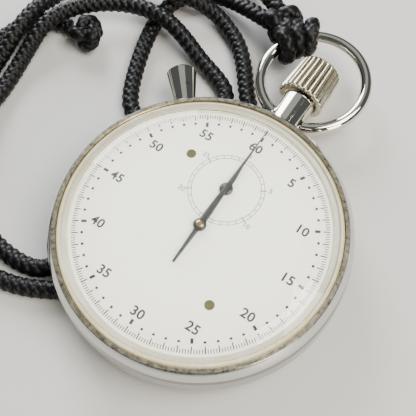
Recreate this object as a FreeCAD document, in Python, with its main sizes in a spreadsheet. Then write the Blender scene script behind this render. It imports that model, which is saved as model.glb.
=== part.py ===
import FreeCAD, Part
import Sketcher
import math
import os
import re

# Mechanical stopwatch with a thirty minute recorder, lying on its case back.
# Origin: centre of the flat of the case back. +Z: out through the dial. +Y: towards the crown.

V = FreeCAD.Vector
doc = FreeCAD.newDocument("Stopwatch")
sheet = doc.addObject("Spreadsheet::Sheet", "Sizes")

SIZES = {
    # case, from the back upwards
    "case_radius": 26.1,
    "case_bore": 21.2,
    "seat_radius": 23.45,
    "band_underside": 3.7,
    "shelf_height": 8.6,
    "band_shoulder": 10.1,
    "neck_ring_height": 11.5,
    "neck_ring_radius": 24.1,
    "lip_radius": 22.0,
    "lip_bottom": 2.2,
    "back_flat": 16.0,
    "back_radius": 22.5,
    "back_corner": 1.7,
    "back_wall": 0.8,
    "back_skirt_top": 3.6,
    "bezel_foot_radius": 25.9,
    "bezel_top_radius": 25.0,
    "bezel_top": 12.7,
    "bezel_land": 0.7,
    "gasket_top": 12.5,
    "crystal_rise": 1.4,
    "crystal_edge": 12.9,
    "crystal_wall": 1.0,
    "fit_gap": 0.05,
    "run_gap": 0.05,
    # dial side
    "dial_height": 11.5,
    "dial_thickness": 0.4,
    "dial_radius": 22.3,
    "flange_height": 0.45,
    "stud_radius": 0.86,
    "stud_across": 8.9,
    "stud_along": 10.6,
    # hands
    "seconds_reach": 21.7,
    "seconds_tail": 7.9,
    "seconds_hub": 1.15,
    "seconds_lift": 0.62,
    "minute_reach": 6.0,
    "minute_hub": 1.2,
    "minute_lift": 0.2,
    "hand_thickness": 0.14,
    # pendant, crown and bow
    "pendant_drop": 5.3,
    "neck_top": 33.1,
    "neck_top_radius": 3.2,
    "neck_foot_radius": 2.82,
    "spigot_radius": 2.0,
    "sleeve_radius": 1.1,
    "stem_radius": 0.75,
    "crown_gap": 0.35,
    "crown_length": 8.6,
    "crown_radius": 4.55,
    "crown_end_radius": 4.1,
    "crown_recess": 3.4,
    "crown_recess_depth": 3.6,
    "crown_flutes": 24,
    "flute_radius": 0.34,
    "bow_radius": 10.07,
    "bow_wire": 1.075,
    "bow_pivot_along": 29.0,
    "bow_pivot_drop": 0.5,
    "bow_tilt": 4.0,
    "pin_radius": 0.55,
    # reset button
    "button_angle": 40.0,
    "button_start": 27.25,
    "button_length": 8.0,
    "button_small": 1.95,
    "button_large": 2.88,
    "button_recess": 1.5,
    "reset_stem_radius": 0.8,
    "reset_tube_radius": 1.3,
    # movement
    "movement_radius": 20.6,
    "plate_radius": 22.2,
    "plate_thickness": 1.6,
    "bridge_back": 2.9,
    "bridge_thickness": 0.8,
    "pillar_radius": 1.0,
    "screw_radius": 0.45,
    "screw_head": 0.95,
    "jewel_radius": 0.7,
    "pivot_radius": 0.15,
    "arbor_radius": 0.4,
    "tooth_module": 0.2,
    "fine_module": 0.15,
    "barrel_teeth": 72,
    "barrel_floor": 4.85,
    "barrel_height": 2.1,
    "balance_radius": 5.6,
    "escape_radius": 3.4,
    "lever_floor": 7.7,
    "lever_thickness": 0.5,
    "recorder_offset": 8.04,
    # lanyard
    "cord_diameter": 3.4,
    "knot_radius": 3.7,
}
for row, (alias, value) in enumerate(SIZES.items(), start=1):
    sheet.set("A%d" % row, alias)
    sheet.set("B%d" % row, str(value))
    sheet.setAlias("B%d" % row, alias)
doc.recompute()


def size(text):
    """Value of an expression in the sheet's names."""
    return float(sheet.evalExpression(str(text)))


def linked(text):
    """The same expression, with each name pointing at its cell of the sheet."""
    return re.sub(r"[a-z_]+", lambda word: "Sizes." + word.group() if word.group() in SIZES else word.group(),
                  str(text))


pieces = {}


def piece(name, thing):
    """Give the finished object the label that names its file."""
    thing.Label = name
    pieces[name] = thing
    return thing


def put(thing, place, turn=None):
    """Move an object to a place given as three expressions, after turning it."""
    if turn is not None:
        thing.Placement = FreeCAD.Placement(V(0, 0, 0), turn)
    for axis, text in zip("xyz", place):
        thing.setExpression("Placement.Base." + axis, linked(text))
    return thing


def solid(kind, name, place=(0, 0, 0), turn=None, **measures):
    """A Part primitive whose measures are expressions."""
    thing = doc.addObject("Part::" + kind, name)
    for measure, text in measures.items():
        thing.setExpression(measure, linked(text))
    return put(thing, place, turn)


def rod(name, radius, low, high, x=0, y=0):
    """An upright cylinder between two heights."""
    return solid("Cylinder", name, (x, y, low), Radius=radius, Height="(%s) - (%s)" % (high, low))


def joined(name, *things):
    """One solid out of several."""
    thing = doc.addObject("Part::MultiFuse", name)
    thing.Shapes = list(things)
    return thing


def without(name, base, *tools):
    """The base with the tools cut out of it."""
    thing = doc.addObject("Part::Cut", name)
    thing.Base = base
    thing.Tool = tools[0] if len(tools) == 1 else joined(name + "_tools", *tools)
    return thing


def shaped(name, shape):
    """An object whose shape is worked out below with Part's own functions."""
    thing = doc.addObject("Part::Feature", name)
    thing.Shape = shape
    return thing


def turned(name, profile, place=(0, 0, 0), turn=None):
    """A piece turned on a lathe: a closed profile of (radius, height) expressions about the Z axis.
    A third value on a point makes the stretch after it an arc of that radius that bulges outwards."""
    body = doc.addObject("PartDesign::Body", name)
    sketch = body.newObject("Sketcher::SketchObject", name + "_profile")
    plane = [item for item in body.Origin.OriginFeatures if item.Role == "XZ_Plane"][0]
    sketch.AttachmentSupport = (plane, [""])
    sketch.MapMode = "FlatFace"
    corners = [V(size(point[0]), size(point[1]), 0) for point in profile]
    for index, point in enumerate(profile):
        start = corners[index]
        end = corners[(index + 1) % len(profile)]
        if len(point) == 3:
            radius = size(point[2])
            chord = end - start
            middle = (start + end) * 0.5
            side = V(chord.y, -chord.x, 0).normalize()
            sagitta = radius - math.sqrt(radius ** 2 - chord.Length ** 2 / 4)
            edge = Part.Arc(start, middle + side * sagitta, end)
        else:
            edge = Part.LineSegment(start, end)
        sketch.addGeometry(edge, False)
    # in the sketcher's numbering, point 1 of a stretch is its start and point 2 its end
    for index in range(len(profile)):
        after = (index + 1) % len(profile)
        sketch.addConstraint(Sketcher.Constraint("Coincident", index, 2, after, 1))
    for index, point in enumerate(profile):
        for kind, text, value, line in (("DistanceX", point[0], corners[index].x, -2),
                                        ("DistanceY", point[1], corners[index].y, -1)):
            if abs(value) < 1e-9:
                sketch.addConstraint(Sketcher.Constraint("PointOnObject", index, 1, line))
                continue
            number = sketch.addConstraint(Sketcher.Constraint(kind, -1, 1, index, 1, value))
            label = "%s%d" % (kind, index)
            sketch.renameConstraint(number, label)
            sketch.setExpression("Constraints." + label, linked(text))
        if len(point) == 3:
            number = sketch.addConstraint(Sketcher.Constraint("Radius", index, size(point[2])))
            sketch.renameConstraint(number, "Bulge%d" % index)
            sketch.setExpression("Constraints.Bulge%d" % index, linked(point[2]))
    whole = body.newObject("PartDesign::Revolution", name + "_turn")
    whole.Profile = sketch
    whole.ReferenceAxis = (sketch, ["V_Axis"])
    whole.Angle = 360
    return put(body, place, turn)


ALONG_Y = FreeCAD.Rotation(V(1, 0, 0), -90)
ALONG_X = FreeCAD.Rotation(V(0, 1, 0), 90)
AXIS_HEIGHT = "dial_height - pendant_drop"


def along_pendant(name, profile):
    """A turned piece on the pendant's axis, its heights measured from the watch centre along +Y."""
    return turned(name, profile, (0, 0, AXIS_HEIGHT), ALONG_Y)


button_side = V(-math.sin(math.radians(size("button_angle"))), math.cos(math.radians(size("button_angle"))), 0)
ALONG_BUTTON = FreeCAD.Rotation(V(0, 0, 1), button_side)


def along_button(name, profile):
    """A turned piece on the reset button's axis, its heights measured outwards from the watch centre."""
    return turned(name, profile, (0, 0, AXIS_HEIGHT), ALONG_BUTTON)


# ---------------------------------------------------------------- case
band_blank = turned("band_blank", [
    ("case_bore", "lip_bottom"),
    ("lip_radius", "lip_bottom"),
    ("lip_radius", "band_underside"),
    ("case_radius - 1.6", "band_underside + 0.1"),
    ("case_radius", "band_underside + 1.7"),
    ("case_radius", "band_shoulder - 0.8"),
    ("bezel_foot_radius", "band_shoulder"),
    ("neck_ring_radius", "band_shoulder"),
    ("neck_ring_radius", "neck_ring_height"),
    ("seat_radius", "neck_ring_height"),
    ("seat_radius", "shelf_height"),
    ("case_bore", "shelf_height"),
])
spigot_bore = solid("Cylinder", "spigot_bore", (0, "case_bore - 2", AXIS_HEIGHT), ALONG_Y,
                    Radius="spigot_radius", Height="case_radius - case_bore + 4")
button_bore = solid("Cylinder", "button_bore", (0, 0, AXIS_HEIGHT), ALONG_BUTTON,
                    Radius="reset_tube_radius", Height="case_radius + 2")
piece("case_band", without("band_bored", band_blank, spigot_bore, button_bore))

piece("case_back", turned("back_cover", [
    (0, 0),
    ("back_flat", 0,
     "((back_radius - back_flat) ^ 2 + back_corner ^ 2) / (2 * back_corner)"),
    ("back_radius", "back_corner"),
    ("back_radius", "back_skirt_top"),
    ("lip_radius + fit_gap", "back_skirt_top"),
    ("lip_radius + fit_gap", "lip_bottom - 0.35"),
    ("case_bore - 0.2", "lip_bottom - 0.35"),
    ("back_flat - 0.3", "back_wall"),
    (0, "back_wall"),
]))

piece("back_gasket", turned("back_seal", [
    ("case_bore + 0.05", "lip_bottom - 0.35"),
    ("lip_radius", "lip_bottom - 0.35"),
    ("lip_radius", "lip_bottom"),
    ("case_bore + 0.05", "lip_bottom"),
]))

piece("bezel", turned("bezel_ring", [
    ("neck_ring_radius + fit_gap", "band_shoulder + fit_gap"),
    ("bezel_foot_radius", "band_shoulder + fit_gap"),
    ("bezel_foot_radius - 0.03", "band_shoulder + 0.45 * (bezel_top - band_shoulder)", 5.0),
    ("bezel_top_radius", "bezel_top - 0.12"),
    ("bezel_top_radius - 0.12", "bezel_top"),
    ("bezel_top_radius - bezel_land", "bezel_top"),
    ("neck_ring_radius + fit_gap", "bezel_top - 0.15"),
]))

piece("crystal_gasket", turned("crystal_seal", [
    ("seat_radius", "neck_ring_height + fit_gap"),
    ("neck_ring_radius", "neck_ring_height + fit_gap"),
    ("neck_ring_radius", "gasket_top - 0.15"),
    ("neck_ring_radius - 0.15", "gasket_top"),
    ("seat_radius", "gasket_top"),
]))

CRYSTAL_RADIUS = "seat_radius - 0.05"
FLANGE_TOP = "dial_height + flange_height"
piece("crystal", turned("crystal_dome", [
    (CRYSTAL_RADIUS, FLANGE_TOP),
    (CRYSTAL_RADIUS, "crystal_edge", "((seat_radius - 0.05) ^ 2 + crystal_rise ^ 2) / (2 * crystal_rise)"),
    (0, "crystal_edge + crystal_rise"),
    (0, "crystal_edge + crystal_rise - crystal_wall"),
    ("dial_radius - 2", "crystal_edge - 0.3"),
    ("seat_radius - 0.05 - crystal_wall", "crystal_edge - 0.6"),
    ("seat_radius - 0.05 - crystal_wall", FLANGE_TOP),
]))

piece("dial_flange", turned("dial_flange_ring", [
    ("dial_radius + fit_gap", "dial_height - dial_thickness"),
    (CRYSTAL_RADIUS, "dial_height - dial_thickness"),
    (CRYSTAL_RADIUS, FLANGE_TOP),
    ("seat_radius - 0.05 - crystal_wall", FLANGE_TOP),
    ("dial_radius + fit_gap", "dial_height + 0.1"),
]))

piece("movement_ring", turned("movement_spacer", [
    ("plate_radius + fit_gap", "shelf_height + fit_gap"),
    (CRYSTAL_RADIUS, "shelf_height + fit_gap"),
    (CRYSTAL_RADIUS, "dial_height - dial_thickness"),
    ("plate_radius + fit_gap", "dial_height - dial_thickness"),
]))

# ---------------------------------------------------------------- pendant and bow
neck_taper = solid("Cone", "neck_taper", (0, "case_radius - 1.2", AXIS_HEIGHT), ALONG_Y,
                   Radius1="neck_foot_radius", Radius2="neck_top_radius",
                   Height="neck_top - case_radius + 1.2")
case_outline = rod("case_outline", "case_radius", 0, "bezel_top")
neck_outer = without("neck_outer", neck_taper, case_outline)
neck_spigot = solid("Cylinder", "neck_spigot", (0, "case_bore + 0.4", AXIS_HEIGHT), ALONG_Y,
                    Radius="spigot_radius", Height="case_radius - case_bore + 2")
sleeve_bore = solid("Cylinder", "sleeve_bore", (0, "case_bore - 1", AXIS_HEIGHT), ALONG_Y,
                    Radius="sleeve_radius + run_gap", Height="neck_top - case_bore + 4")
spring_pocket = solid("Cylinder", "spring_pocket", (0, "neck_top - 2.7", AXIS_HEIGHT), ALONG_Y,
                      Radius="neck_top_radius - 0.9", Height=5)
PIVOT_HEIGHT = AXIS_HEIGHT + " - bow_pivot_drop"
pin_holes = solid("Cylinder", "pin_holes", ("-neck_top_radius - 1", "bow_pivot_along", PIVOT_HEIGHT), ALONG_X,
                  Radius="pin_radius + run_gap", Height="2 * neck_top_radius + 2")
piece("pendant_neck", without("neck_bored", joined("neck_whole", neck_outer, neck_spigot),
                              sleeve_bore, spring_pocket, pin_holes))

# The ring lies in its own tilted plane. Its centre is a chord's rise beyond the pivots.
bow_reach = math.sqrt(size("bow_radius") ** 2 - 3.0 ** 2)
tilt = FreeCAD.Rotation(V(1, 0, 0), size("bow_tilt"))
pivot = V(0, size("bow_pivot_along"), size(PIVOT_HEIGHT))
bow_centre = pivot + tilt.multVec(V(0, bow_reach, 0))


def on_bow(local):
    """A point given in the bow's own plane, from the ring's centre, in the watch's frame."""
    return bow_centre + tilt.multVec(local)


bow_ring = solid("Torus", "bow_ring", tuple(bow_centre), tilt, Radius1="bow_radius", Radius2="bow_wire")
bow_gap = solid("Box", "bow_gap", ("-neck_top_radius", "bow_pivot_along - 4", PIVOT_HEIGHT + " - 5"), None,
                Length="2 * neck_top_radius", Width=9, Height=10)
bow_open = without("bow_open", bow_ring, bow_gap)
bow_pins = [solid("Cylinder", "bow_pin_" + side, (start, "bow_pivot_along", PIVOT_HEIGHT), ALONG_X,
                  Radius="pin_radius", Height="neck_top_radius - 1")
            for side, start in (("right", "neck_top_radius - 1.2"), ("left", "-2 * neck_top_radius + 2.2"))]
piece("bow", joined("bow_whole", bow_open, *bow_pins))

# ---------------------------------------------------------------- crown and winding stem
CROWN_BASE = "neck_top + crown_gap"
CROWN_END = "neck_top + crown_gap + crown_length"
crown_blank = along_pendant("crown_blank", [
    ("crown_recess", CROWN_BASE),
    ("crown_radius - 0.25", CROWN_BASE),
    ("crown_radius", CROWN_BASE + " + 0.3"),
    ("crown_end_radius + 0.1", CROWN_END + " - 0.75"),
    ("crown_end_radius - 0.45", CROWN_END + " - 0.15"),
    (0, CROWN_END),
    (0, CROWN_END + " - 2.2"),
    ("stem_radius", CROWN_END + " - 2.2"),
    ("stem_radius", CROWN_BASE + " + crown_recess_depth"),
    ("crown_recess", CROWN_BASE + " + crown_recess_depth"),
])
crown_base = size(CROWN_BASE)
lean = math.degrees(math.atan((size("crown_radius") - size("crown_end_radius"))
                              / size("crown_length")))
flutes = []
for index in range(int(size("crown_flutes"))):
    spin = FreeCAD.Rotation(V(0, 1, 0), 360.0 * index / size("crown_flutes"))
    start = spin.multVec(V(0, crown_base - 0.2, size("crown_radius + 0.12")))
    direction = spin.multVec(V(0, math.cos(math.radians(lean)), -math.sin(math.radians(lean))))
    groove = doc.addObject("Part::Cylinder", "flute_%d" % index)
    groove.setExpression("Radius", linked("flute_radius"))
    groove.setExpression("Height", linked("crown_length - 0.35"))
    groove.Placement = FreeCAD.Placement(start + V(0, 0, size(AXIS_HEIGHT)),
                                         FreeCAD.Rotation(V(0, 0, 1), direction))
    flutes.append(groove)
piece("crown", without("crown_fluted", crown_blank, *flutes))

STEM_INNER = "case_bore - 6.6"
piece("winding_stem", along_pendant("stem_turned", [
    (0, STEM_INNER),
    ("stem_radius", STEM_INNER),
    ("stem_radius", CROWN_END + " - 2.3"),
    (0, CROWN_END + " - 2.3"),
]))
FLANGE_INNER = "case_bore - 2.6"
piece("stem_sleeve", along_pendant("sleeve_turned", [
    ("stem_radius + run_gap", FLANGE_INNER),
    ("spigot_radius - 0.1", FLANGE_INNER),
    ("spigot_radius - 0.1", FLANGE_INNER + " + 0.6"),
    ("sleeve_radius", FLANGE_INNER + " + 0.6"),
    ("sleeve_radius", "neck_top - 3.1"),
    ("stem_radius + run_gap", "neck_top - 3.1"),
]))


def tube_along(points, tube_radius):
    """A round tube on straight runs joined by tangent arcs, each as large as its two runs allow."""
    spots = [V(*point) for point in points]
    edges = []
    radii = []
    last = spots[0]
    for before, corner, after in zip(spots, spots[1:], spots[2:]):
        arriving = (corner - before).normalize()
        leaving = (after - corner).normalize()
        turn = arriving.getAngle(leaving)
        trim = 0.45 * min((corner - before).Length, (after - corner).Length)
        radius = trim / math.tan(turn / 2)
        radii.append(radius)
        start = corner - arriving * trim
        end = corner + leaving * trim
        inward = (leaving - arriving).normalize()
        middle = corner + inward * (radius / math.cos(turn / 2) - radius)
        edges.append(Part.LineSegment(last, start).toShape())
        edges.append(Part.Arc(start, middle, end).toShape())
        last = end
    edges.append(Part.LineSegment(last, spots[-1]).toShape())
    path = Part.Wire(edges)
    ring = Part.Wire([Part.makeCircle(tube_radius, spots[0], spots[1] - spots[0])])
    tube = path.makePipeShell([ring], True, False)
    share = tube.Volume / (math.pi * tube_radius ** 2 * path.Length)
    print("tube length %.1f mm, smallest radii %s mm, volume over section times length %.4f"
          % (path.Length, [round(radius, 1) for radius in sorted(radii)[:4]], share))
    return tube


def helical_spring(name, mean_radius, wire_radius, low, high, turns, turn):
    """A round wire wound about an axis through the watch centre, between two distances along it."""
    steps = 8 * turns
    points = []
    for index in range(steps + 1):
        angle = 2 * math.pi * turns * index / steps
        along = wire_radius * 1.2 + (high - low - 2.4 * wire_radius) * index / steps
        points.append((mean_radius * math.cos(angle), mean_radius * math.sin(angle), along))
    thing = shaped(name, tube_along(points, wire_radius))
    thing.Placement = FreeCAD.Placement(V(0, 0, size(AXIS_HEIGHT)) + turn.multVec(V(0, 0, low)), turn)
    return thing


# both springs are drawn at their pressed length, bearing on the piece that is pushed
piece("crown_spring", helical_spring(
    "crown_spring_wire", size("neck_top_radius - 1.5"), 0.2, size("neck_top - 1.8"),
    size(CROWN_BASE + " + crown_recess_depth - 0.03"), 6, ALONG_Y))

# ---------------------------------------------------------------- reset button
piece("reset_tube", along_button("reset_tube_turned", [
    ("reset_stem_radius + run_gap", "case_bore + 0.3"),
    ("reset_tube_radius", "case_bore + 0.3"),
    ("reset_tube_radius", "case_radius + 0.8"),
    ("reset_stem_radius + run_gap", "case_radius + 0.8"),
]))
BUTTON_END = "button_start + button_length"
piece("reset_button", along_button("reset_button_turned", [
    ("button_recess", "button_start"),
    ("button_small - 0.1", "button_start"),
    ("button_small", "button_start + 0.12"),
    ("button_large", BUTTON_END + " - 0.5"),
    ("button_large - 0.35", BUTTON_END + " - 0.12"),
    (0, BUTTON_END),
    (0, BUTTON_END + " - 2"),
    ("reset_stem_radius", BUTTON_END + " - 2"),
    ("reset_stem_radius", "button_start + 2.2"),
    ("button_recess", "button_start + 2.2"),
]))
HAMMER_FACE = "movement_radius - 1.38"
piece("reset_stem", along_button("reset_stem_turned", [
    (0, HAMMER_FACE + " + run_gap"),
    (0.25, HAMMER_FACE + " + run_gap"),
    ("reset_stem_radius", HAMMER_FACE + " + 0.6"),
    ("reset_stem_radius", BUTTON_END + " - 2.1"),
    (0, BUTTON_END + " - 2.1"),
]))
piece("reset_spring", helical_spring(
    "reset_spring_wire", size("button_recess - 0.35"), 0.13, size("case_radius + 1.85"),
    size("button_start + 2.17"), 3, ALONG_BUTTON))

# ---------------------------------------------------------------- train layout, seen from the dial
tooth = size("tooth_module")
fine = size("fine_module")
MINUTE_LEAVES = 12
MINUTE_TEETH = 60
THIRD_LEAVES = 10
THIRD_TEETH = 60
CENTRE_LEAVES = 12
CENTRE_TEETH = 80
ESCAPE_LEAVES = 8
ESCAPE_TEETH = 15
RATCHET_TEETH = 36
CROWN_TEETH = 30
PINION_LEAVES = 12
centre = V(0, 0, 0)
minute = V(0, size("recorder_offset"), 0)


def meeting_point(first, reach_first, second, reach_second, side):
    """The point at two given distances from two centres, on the left (+1) or right (-1) of the line."""
    line = second - first
    along = (reach_first ** 2 - reach_second ** 2 + line.Length ** 2) / (2 * line.Length)
    across = math.sqrt(reach_first ** 2 - along ** 2)
    unit = V(line.x, line.y, 0).normalize()
    return first + unit * along + V(-unit.y, unit.x, 0) * across * side


third = meeting_point(centre, tooth * (THIRD_TEETH + CENTRE_LEAVES) / 2,
                      minute, tooth * (MINUTE_TEETH + THIRD_LEAVES) / 2, 1)
barrel = minute + V(tooth * (size("barrel_teeth") + MINUTE_LEAVES) / 2, 0, 0)
escape = V(-1.15, -1, 0)
escape.y = -math.sqrt((fine * (CENTRE_TEETH + ESCAPE_LEAVES) / 2) ** 2 - escape.x ** 2)
pallet = escape + V(4.05, -2.1, 0)
balance = pallet + V(4.5, -1.8, 0)
RATCHET_MODULE = 0.25
crown_hub = V(1.6, 0, 0)
crown_hub.y = barrel.y + math.sqrt((RATCHET_MODULE * (RATCHET_TEETH + CROWN_TEETH) / 2) ** 2
                                   - (barrel.x - crown_hub.x) ** 2)

plate_floor = size("shelf_height")
plate_top = plate_floor + size("plate_thickness")
bridge_top = size("bridge_back + bridge_thickness")


def toothed_disc(teeth, module, low, thickness, spot, phase, addendum=0.7):
    """A spur gear: involute flanks of a 25 degree pressure angle, drawn with three points each."""
    pitch_radius = teeth * module / 2
    base_radius = pitch_radius * math.cos(math.radians(25))
    root = pitch_radius - 1.0 * module
    tip = pitch_radius + addendum * module
    play = 0.06

    def half_angle(radius):
        pressure = math.acos(min(1.0, base_radius / max(radius, base_radius)))
        involute = math.tan(pressure) - pressure
        at_pitch = math.tan(math.radians(25)) - math.radians(25)
        return math.pi / (2 * teeth) - play / (2 * pitch_radius) + at_pitch - involute

    radii = [root, pitch_radius, tip]
    corners = []
    for index in range(teeth):
        middle = phase + 2 * math.pi * index / teeth
        flank = [(radius, min(half_angle(radius), 0.96 * math.pi / teeth)) for radius in radii]
        for radius, spread in flank:
            corners.append(V(radius * math.cos(middle - spread), radius * math.sin(middle - spread), 0))
        for radius, spread in reversed(flank):
            corners.append(V(radius * math.cos(middle + spread), radius * math.sin(middle + spread), 0))
    disc = Part.Face(Part.makePolygon(corners + corners[:1])).extrude(V(0, 0, thickness))
    disc.translate(V(spot.x, spot.y, low))
    return disc


def post(radius, low, high, spot):
    """An upright solid cylinder at a spot."""
    return Part.makeCylinder(radius, high - low, V(spot.x, spot.y, low))


def crossed_wheel(blank, low, thickness, spot, rim, hub, bore, arms, arm_width):
    """A toothed blank with windows between its arms and a bore for its arbor."""
    windows = post(rim, low - 1, low + thickness + 1, spot).cut(post(hub, low - 1, low + thickness + 1, spot))
    for index in range(arms):
        arm = Part.makeBox(rim + 1, arm_width, thickness + 2, V(0, -arm_width / 2, low - 1))
        arm.rotate(V(0, 0, 0), V(0, 0, 1), 360.0 * index / arms + 20)
        arm.translate(V(spot.x, spot.y, 0))
        windows = windows.cut(arm)
    return blank.cut(windows).cut(post(bore, low - 1, low + thickness + 1, spot))


def facing(first, second):
    """The direction from one centre to another, as an angle."""
    return math.atan2(second.y - first.y, second.x - first.x)


arbor_r = size("arbor_radius")
pivot_r = size("pivot_radius")
shoulder_low = bridge_top + 0.05
shoulder_high = plate_floor - 0.05
pivot_low = bridge_top - 0.45
pivot_high = plate_floor + 0.4


def arbor(name, spot, top, extra):
    """A turned arbor between the bridge and the plate, with its pinion or other shapes fused on."""
    shaft = post(arbor_r, shoulder_low, shoulder_high, spot).fuse(post(pivot_r, pivot_low, shoulder_low, spot))
    shaft = shaft.fuse(post(top[0], shoulder_high, top[1], spot))
    return piece(name, shaped(name + "_turned", shaft.multiFuse(extra).removeSplitter()))


DIAL_TOP = size("dial_height")
minute_floor = size("barrel_floor + barrel_height") + 0.1
minute_top = DIAL_TOP + size("minute_lift") + 0.18
seconds_top = DIAL_TOP + size("seconds_lift") + 0.2
wheel_thickness = 0.3

arbor("minute_arbor", minute, (arbor_r, plate_top - 0.1), [
    toothed_disc(MINUTE_LEAVES, tooth, minute_floor - 1.0, 0.93, minute,
                 facing(minute, barrel) + math.pi / MINUTE_LEAVES, 0.9),
    post(0.3, plate_top - 0.1, minute_top, minute)])
piece("minute_wheel", shaped("minute_wheel_cut", crossed_wheel(
    toothed_disc(MINUTE_TEETH, tooth, minute_floor, wheel_thickness, minute, facing(minute, third)),
    minute_floor, wheel_thickness, minute, 5.3, 1.0, arbor_r, 4, 0.7)))
arbor("third_arbor", third, (pivot_r, pivot_high), [
    toothed_disc(THIRD_LEAVES, tooth, minute_floor - 0.1, wheel_thickness + 0.2, third,
                 facing(third, minute) + math.pi / THIRD_LEAVES, 0.9)])
third_floor = 5.2
piece("third_wheel", shaped("third_wheel_cut", crossed_wheel(
    toothed_disc(THIRD_TEETH, tooth, third_floor, wheel_thickness, third, facing(third, centre)),
    third_floor, wheel_thickness, third, 5.3, 1.0, arbor_r, 4, 0.7)))
arbor("centre_arbor", centre, (arbor_r, plate_top - 0.1), [
    toothed_disc(CENTRE_LEAVES, tooth, third_floor - 0.2, wheel_thickness + 0.4, centre,
                 facing(centre, third) + math.pi / CENTRE_LEAVES, 0.9),
    post(0.3, plate_top - 0.1, seconds_top, centre)])
centre_floor = bridge_top + 0.3
centre_thickness = 0.25
piece("centre_wheel", shaped("centre_wheel_cut", crossed_wheel(
    toothed_disc(CENTRE_TEETH, fine, centre_floor, centre_thickness, centre, facing(centre, escape)),
    centre_floor, centre_thickness, centre, 5.4, 1.0, arbor_r, 5, 0.6)))
arbor("escape_arbor", escape, (pivot_r, pivot_high), [
    toothed_disc(ESCAPE_LEAVES, fine, centre_floor - 0.1, centre_thickness + 0.2, escape,
                 facing(escape, centre) + math.pi / ESCAPE_LEAVES, 0.9)])

escape_floor = 5.9
tip_radius = size("escape_radius")
outline = []
for index in range(ESCAPE_TEETH):
    start = 2 * math.pi * index / ESCAPE_TEETH
    for radius, step in ((tip_radius - 0.8, 0.0), (tip_radius, 0.13), (tip_radius, 0.17),
                         (tip_radius - 0.8, 0.2)):
        outline.append(V(radius * math.cos(start + step), radius * math.sin(start + step), 0))
escape_blank = Part.Face(Part.makePolygon(outline + outline[:1])).extrude(V(0, 0, centre_thickness))
escape_blank.translate(V(escape.x, escape.y, escape_floor))
piece("escape_wheel", shaped("escape_wheel_cut", crossed_wheel(
    escape_blank, escape_floor, centre_thickness, escape, tip_radius - 1.15, 0.8, arbor_r, 4, 0.4)))

# Lever escapement: two pallets outside the wheel's tips and a tail towards the balance staff.
fork_floor = escape_floor - 0.05
fork_thickness = centre_thickness + 0.1


def bar(start, end, width, low, thickness):
    """A flat straight bar between two points, square at its ends."""
    line = end - start
    shape = Part.makeBox(line.Length, width, thickness, V(0, -width / 2, 0))
    shape.rotate(V(0, 0, 0), V(0, 0, 1), math.degrees(math.atan2(line.y, line.x)))
    shape.translate(V(start.x, start.y, low))
    return shape


towards_pallet = facing(escape, pallet)
stones = [escape + V(math.cos(towards_pallet + side), math.sin(towards_pallet + side), 0) * (tip_radius + 0.5)
          for side in (math.radians(32), -math.radians(32))]
staff_side = (balance - pallet) * (1 - 1.2 / (balance - pallet).Length)
fork = post(0.6, fork_floor, fork_floor + fork_thickness, pallet)
fork = fork.multiFuse([
    bar(pallet, stones[0], 0.45, fork_floor, fork_thickness),
    bar(pallet, stones[1], 0.45, fork_floor, fork_thickness),
    bar(pallet, pallet + staff_side, 0.4, fork_floor, fork_thickness),
    post(0.2, fork_floor - 0.15, shoulder_high, pallet),
    post(pivot_r, fork_floor - 0.5, fork_floor - 0.1, pallet),
    post(pivot_r, shoulder_high, pivot_high, pallet)])
piece("pallet_fork", shaped("pallet_fork_cut", fork.removeSplitter()))

cock_floor = fork_floor - 0.5
feet = [pallet + V(-1.0, -4.0, 0), pallet + V(1.0, 3.7, 0)]
pallet_cock = bar(feet[0], pallet, 1.5, cock_floor, 0.3).multiFuse(
    [bar(feet[1], pallet, 1.5, cock_floor, 0.3), post(0.9, cock_floor, cock_floor + 0.3, pallet)]
    + [post(0.75, cock_floor, plate_floor, foot) for foot in feet])
pallet_cock = pallet_cock.cut(post(pivot_r + 0.03, cock_floor - 1, cock_floor + 0.31, pallet))
piece("pallet_bridge", shaped("pallet_bridge_cut", pallet_cock.removeSplitter()))

# Balance: rim with timing screws, two arms, on a staff with its roller and impulse pin.
rim_radius = size("balance_radius")
rim_low = bridge_top + 0.7
rim_high = rim_low + 0.7
rim = post(rim_radius, rim_low, rim_high, balance).cut(post(rim_radius - 0.6, rim_low - 1, rim_high + 1, balance))
arms = bar(balance + V(-rim_radius + 0.3, 0, 0), balance + V(rim_radius - 0.3, 0, 0), 0.7, rim_low + 0.2, 0.3)
wheel_parts = [arms, post(0.9, rim_low + 0.1, rim_high - 0.1, balance)]
for index in range(10):
    direction = V(math.cos(math.pi * (index + 0.5) / 5), math.sin(math.pi * (index + 0.5) / 5), 0)
    wheel_parts.append(Part.makeCylinder(
        0.26, 0.9, balance + direction * (rim_radius - 0.4) + V(0, 0, (rim_low + rim_high) / 2), direction))
balance_wheel = rim.multiFuse(wheel_parts).cut(post(0.35, rim_low - 1, rim_high + 1, balance))
piece("balance_wheel", shaped("balance_wheel_cut", balance_wheel.removeSplitter()))
pin_spot = balance + V(-0.85, 0.2, 0)
staff = post(0.35, shoulder_low, shoulder_high, balance).multiFuse([
    post(pivot_r, pivot_low, shoulder_low, balance), post(pivot_r, shoulder_high, pivot_high, balance),
    post(1.2, rim_high + 0.15, rim_high + 0.45, balance),
    post(0.12, rim_high + 0.4, fork_floor + fork_thickness, pin_spot)])
piece("balance_staff", shaped("balance_staff_turned", staff.removeSplitter()))


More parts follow.
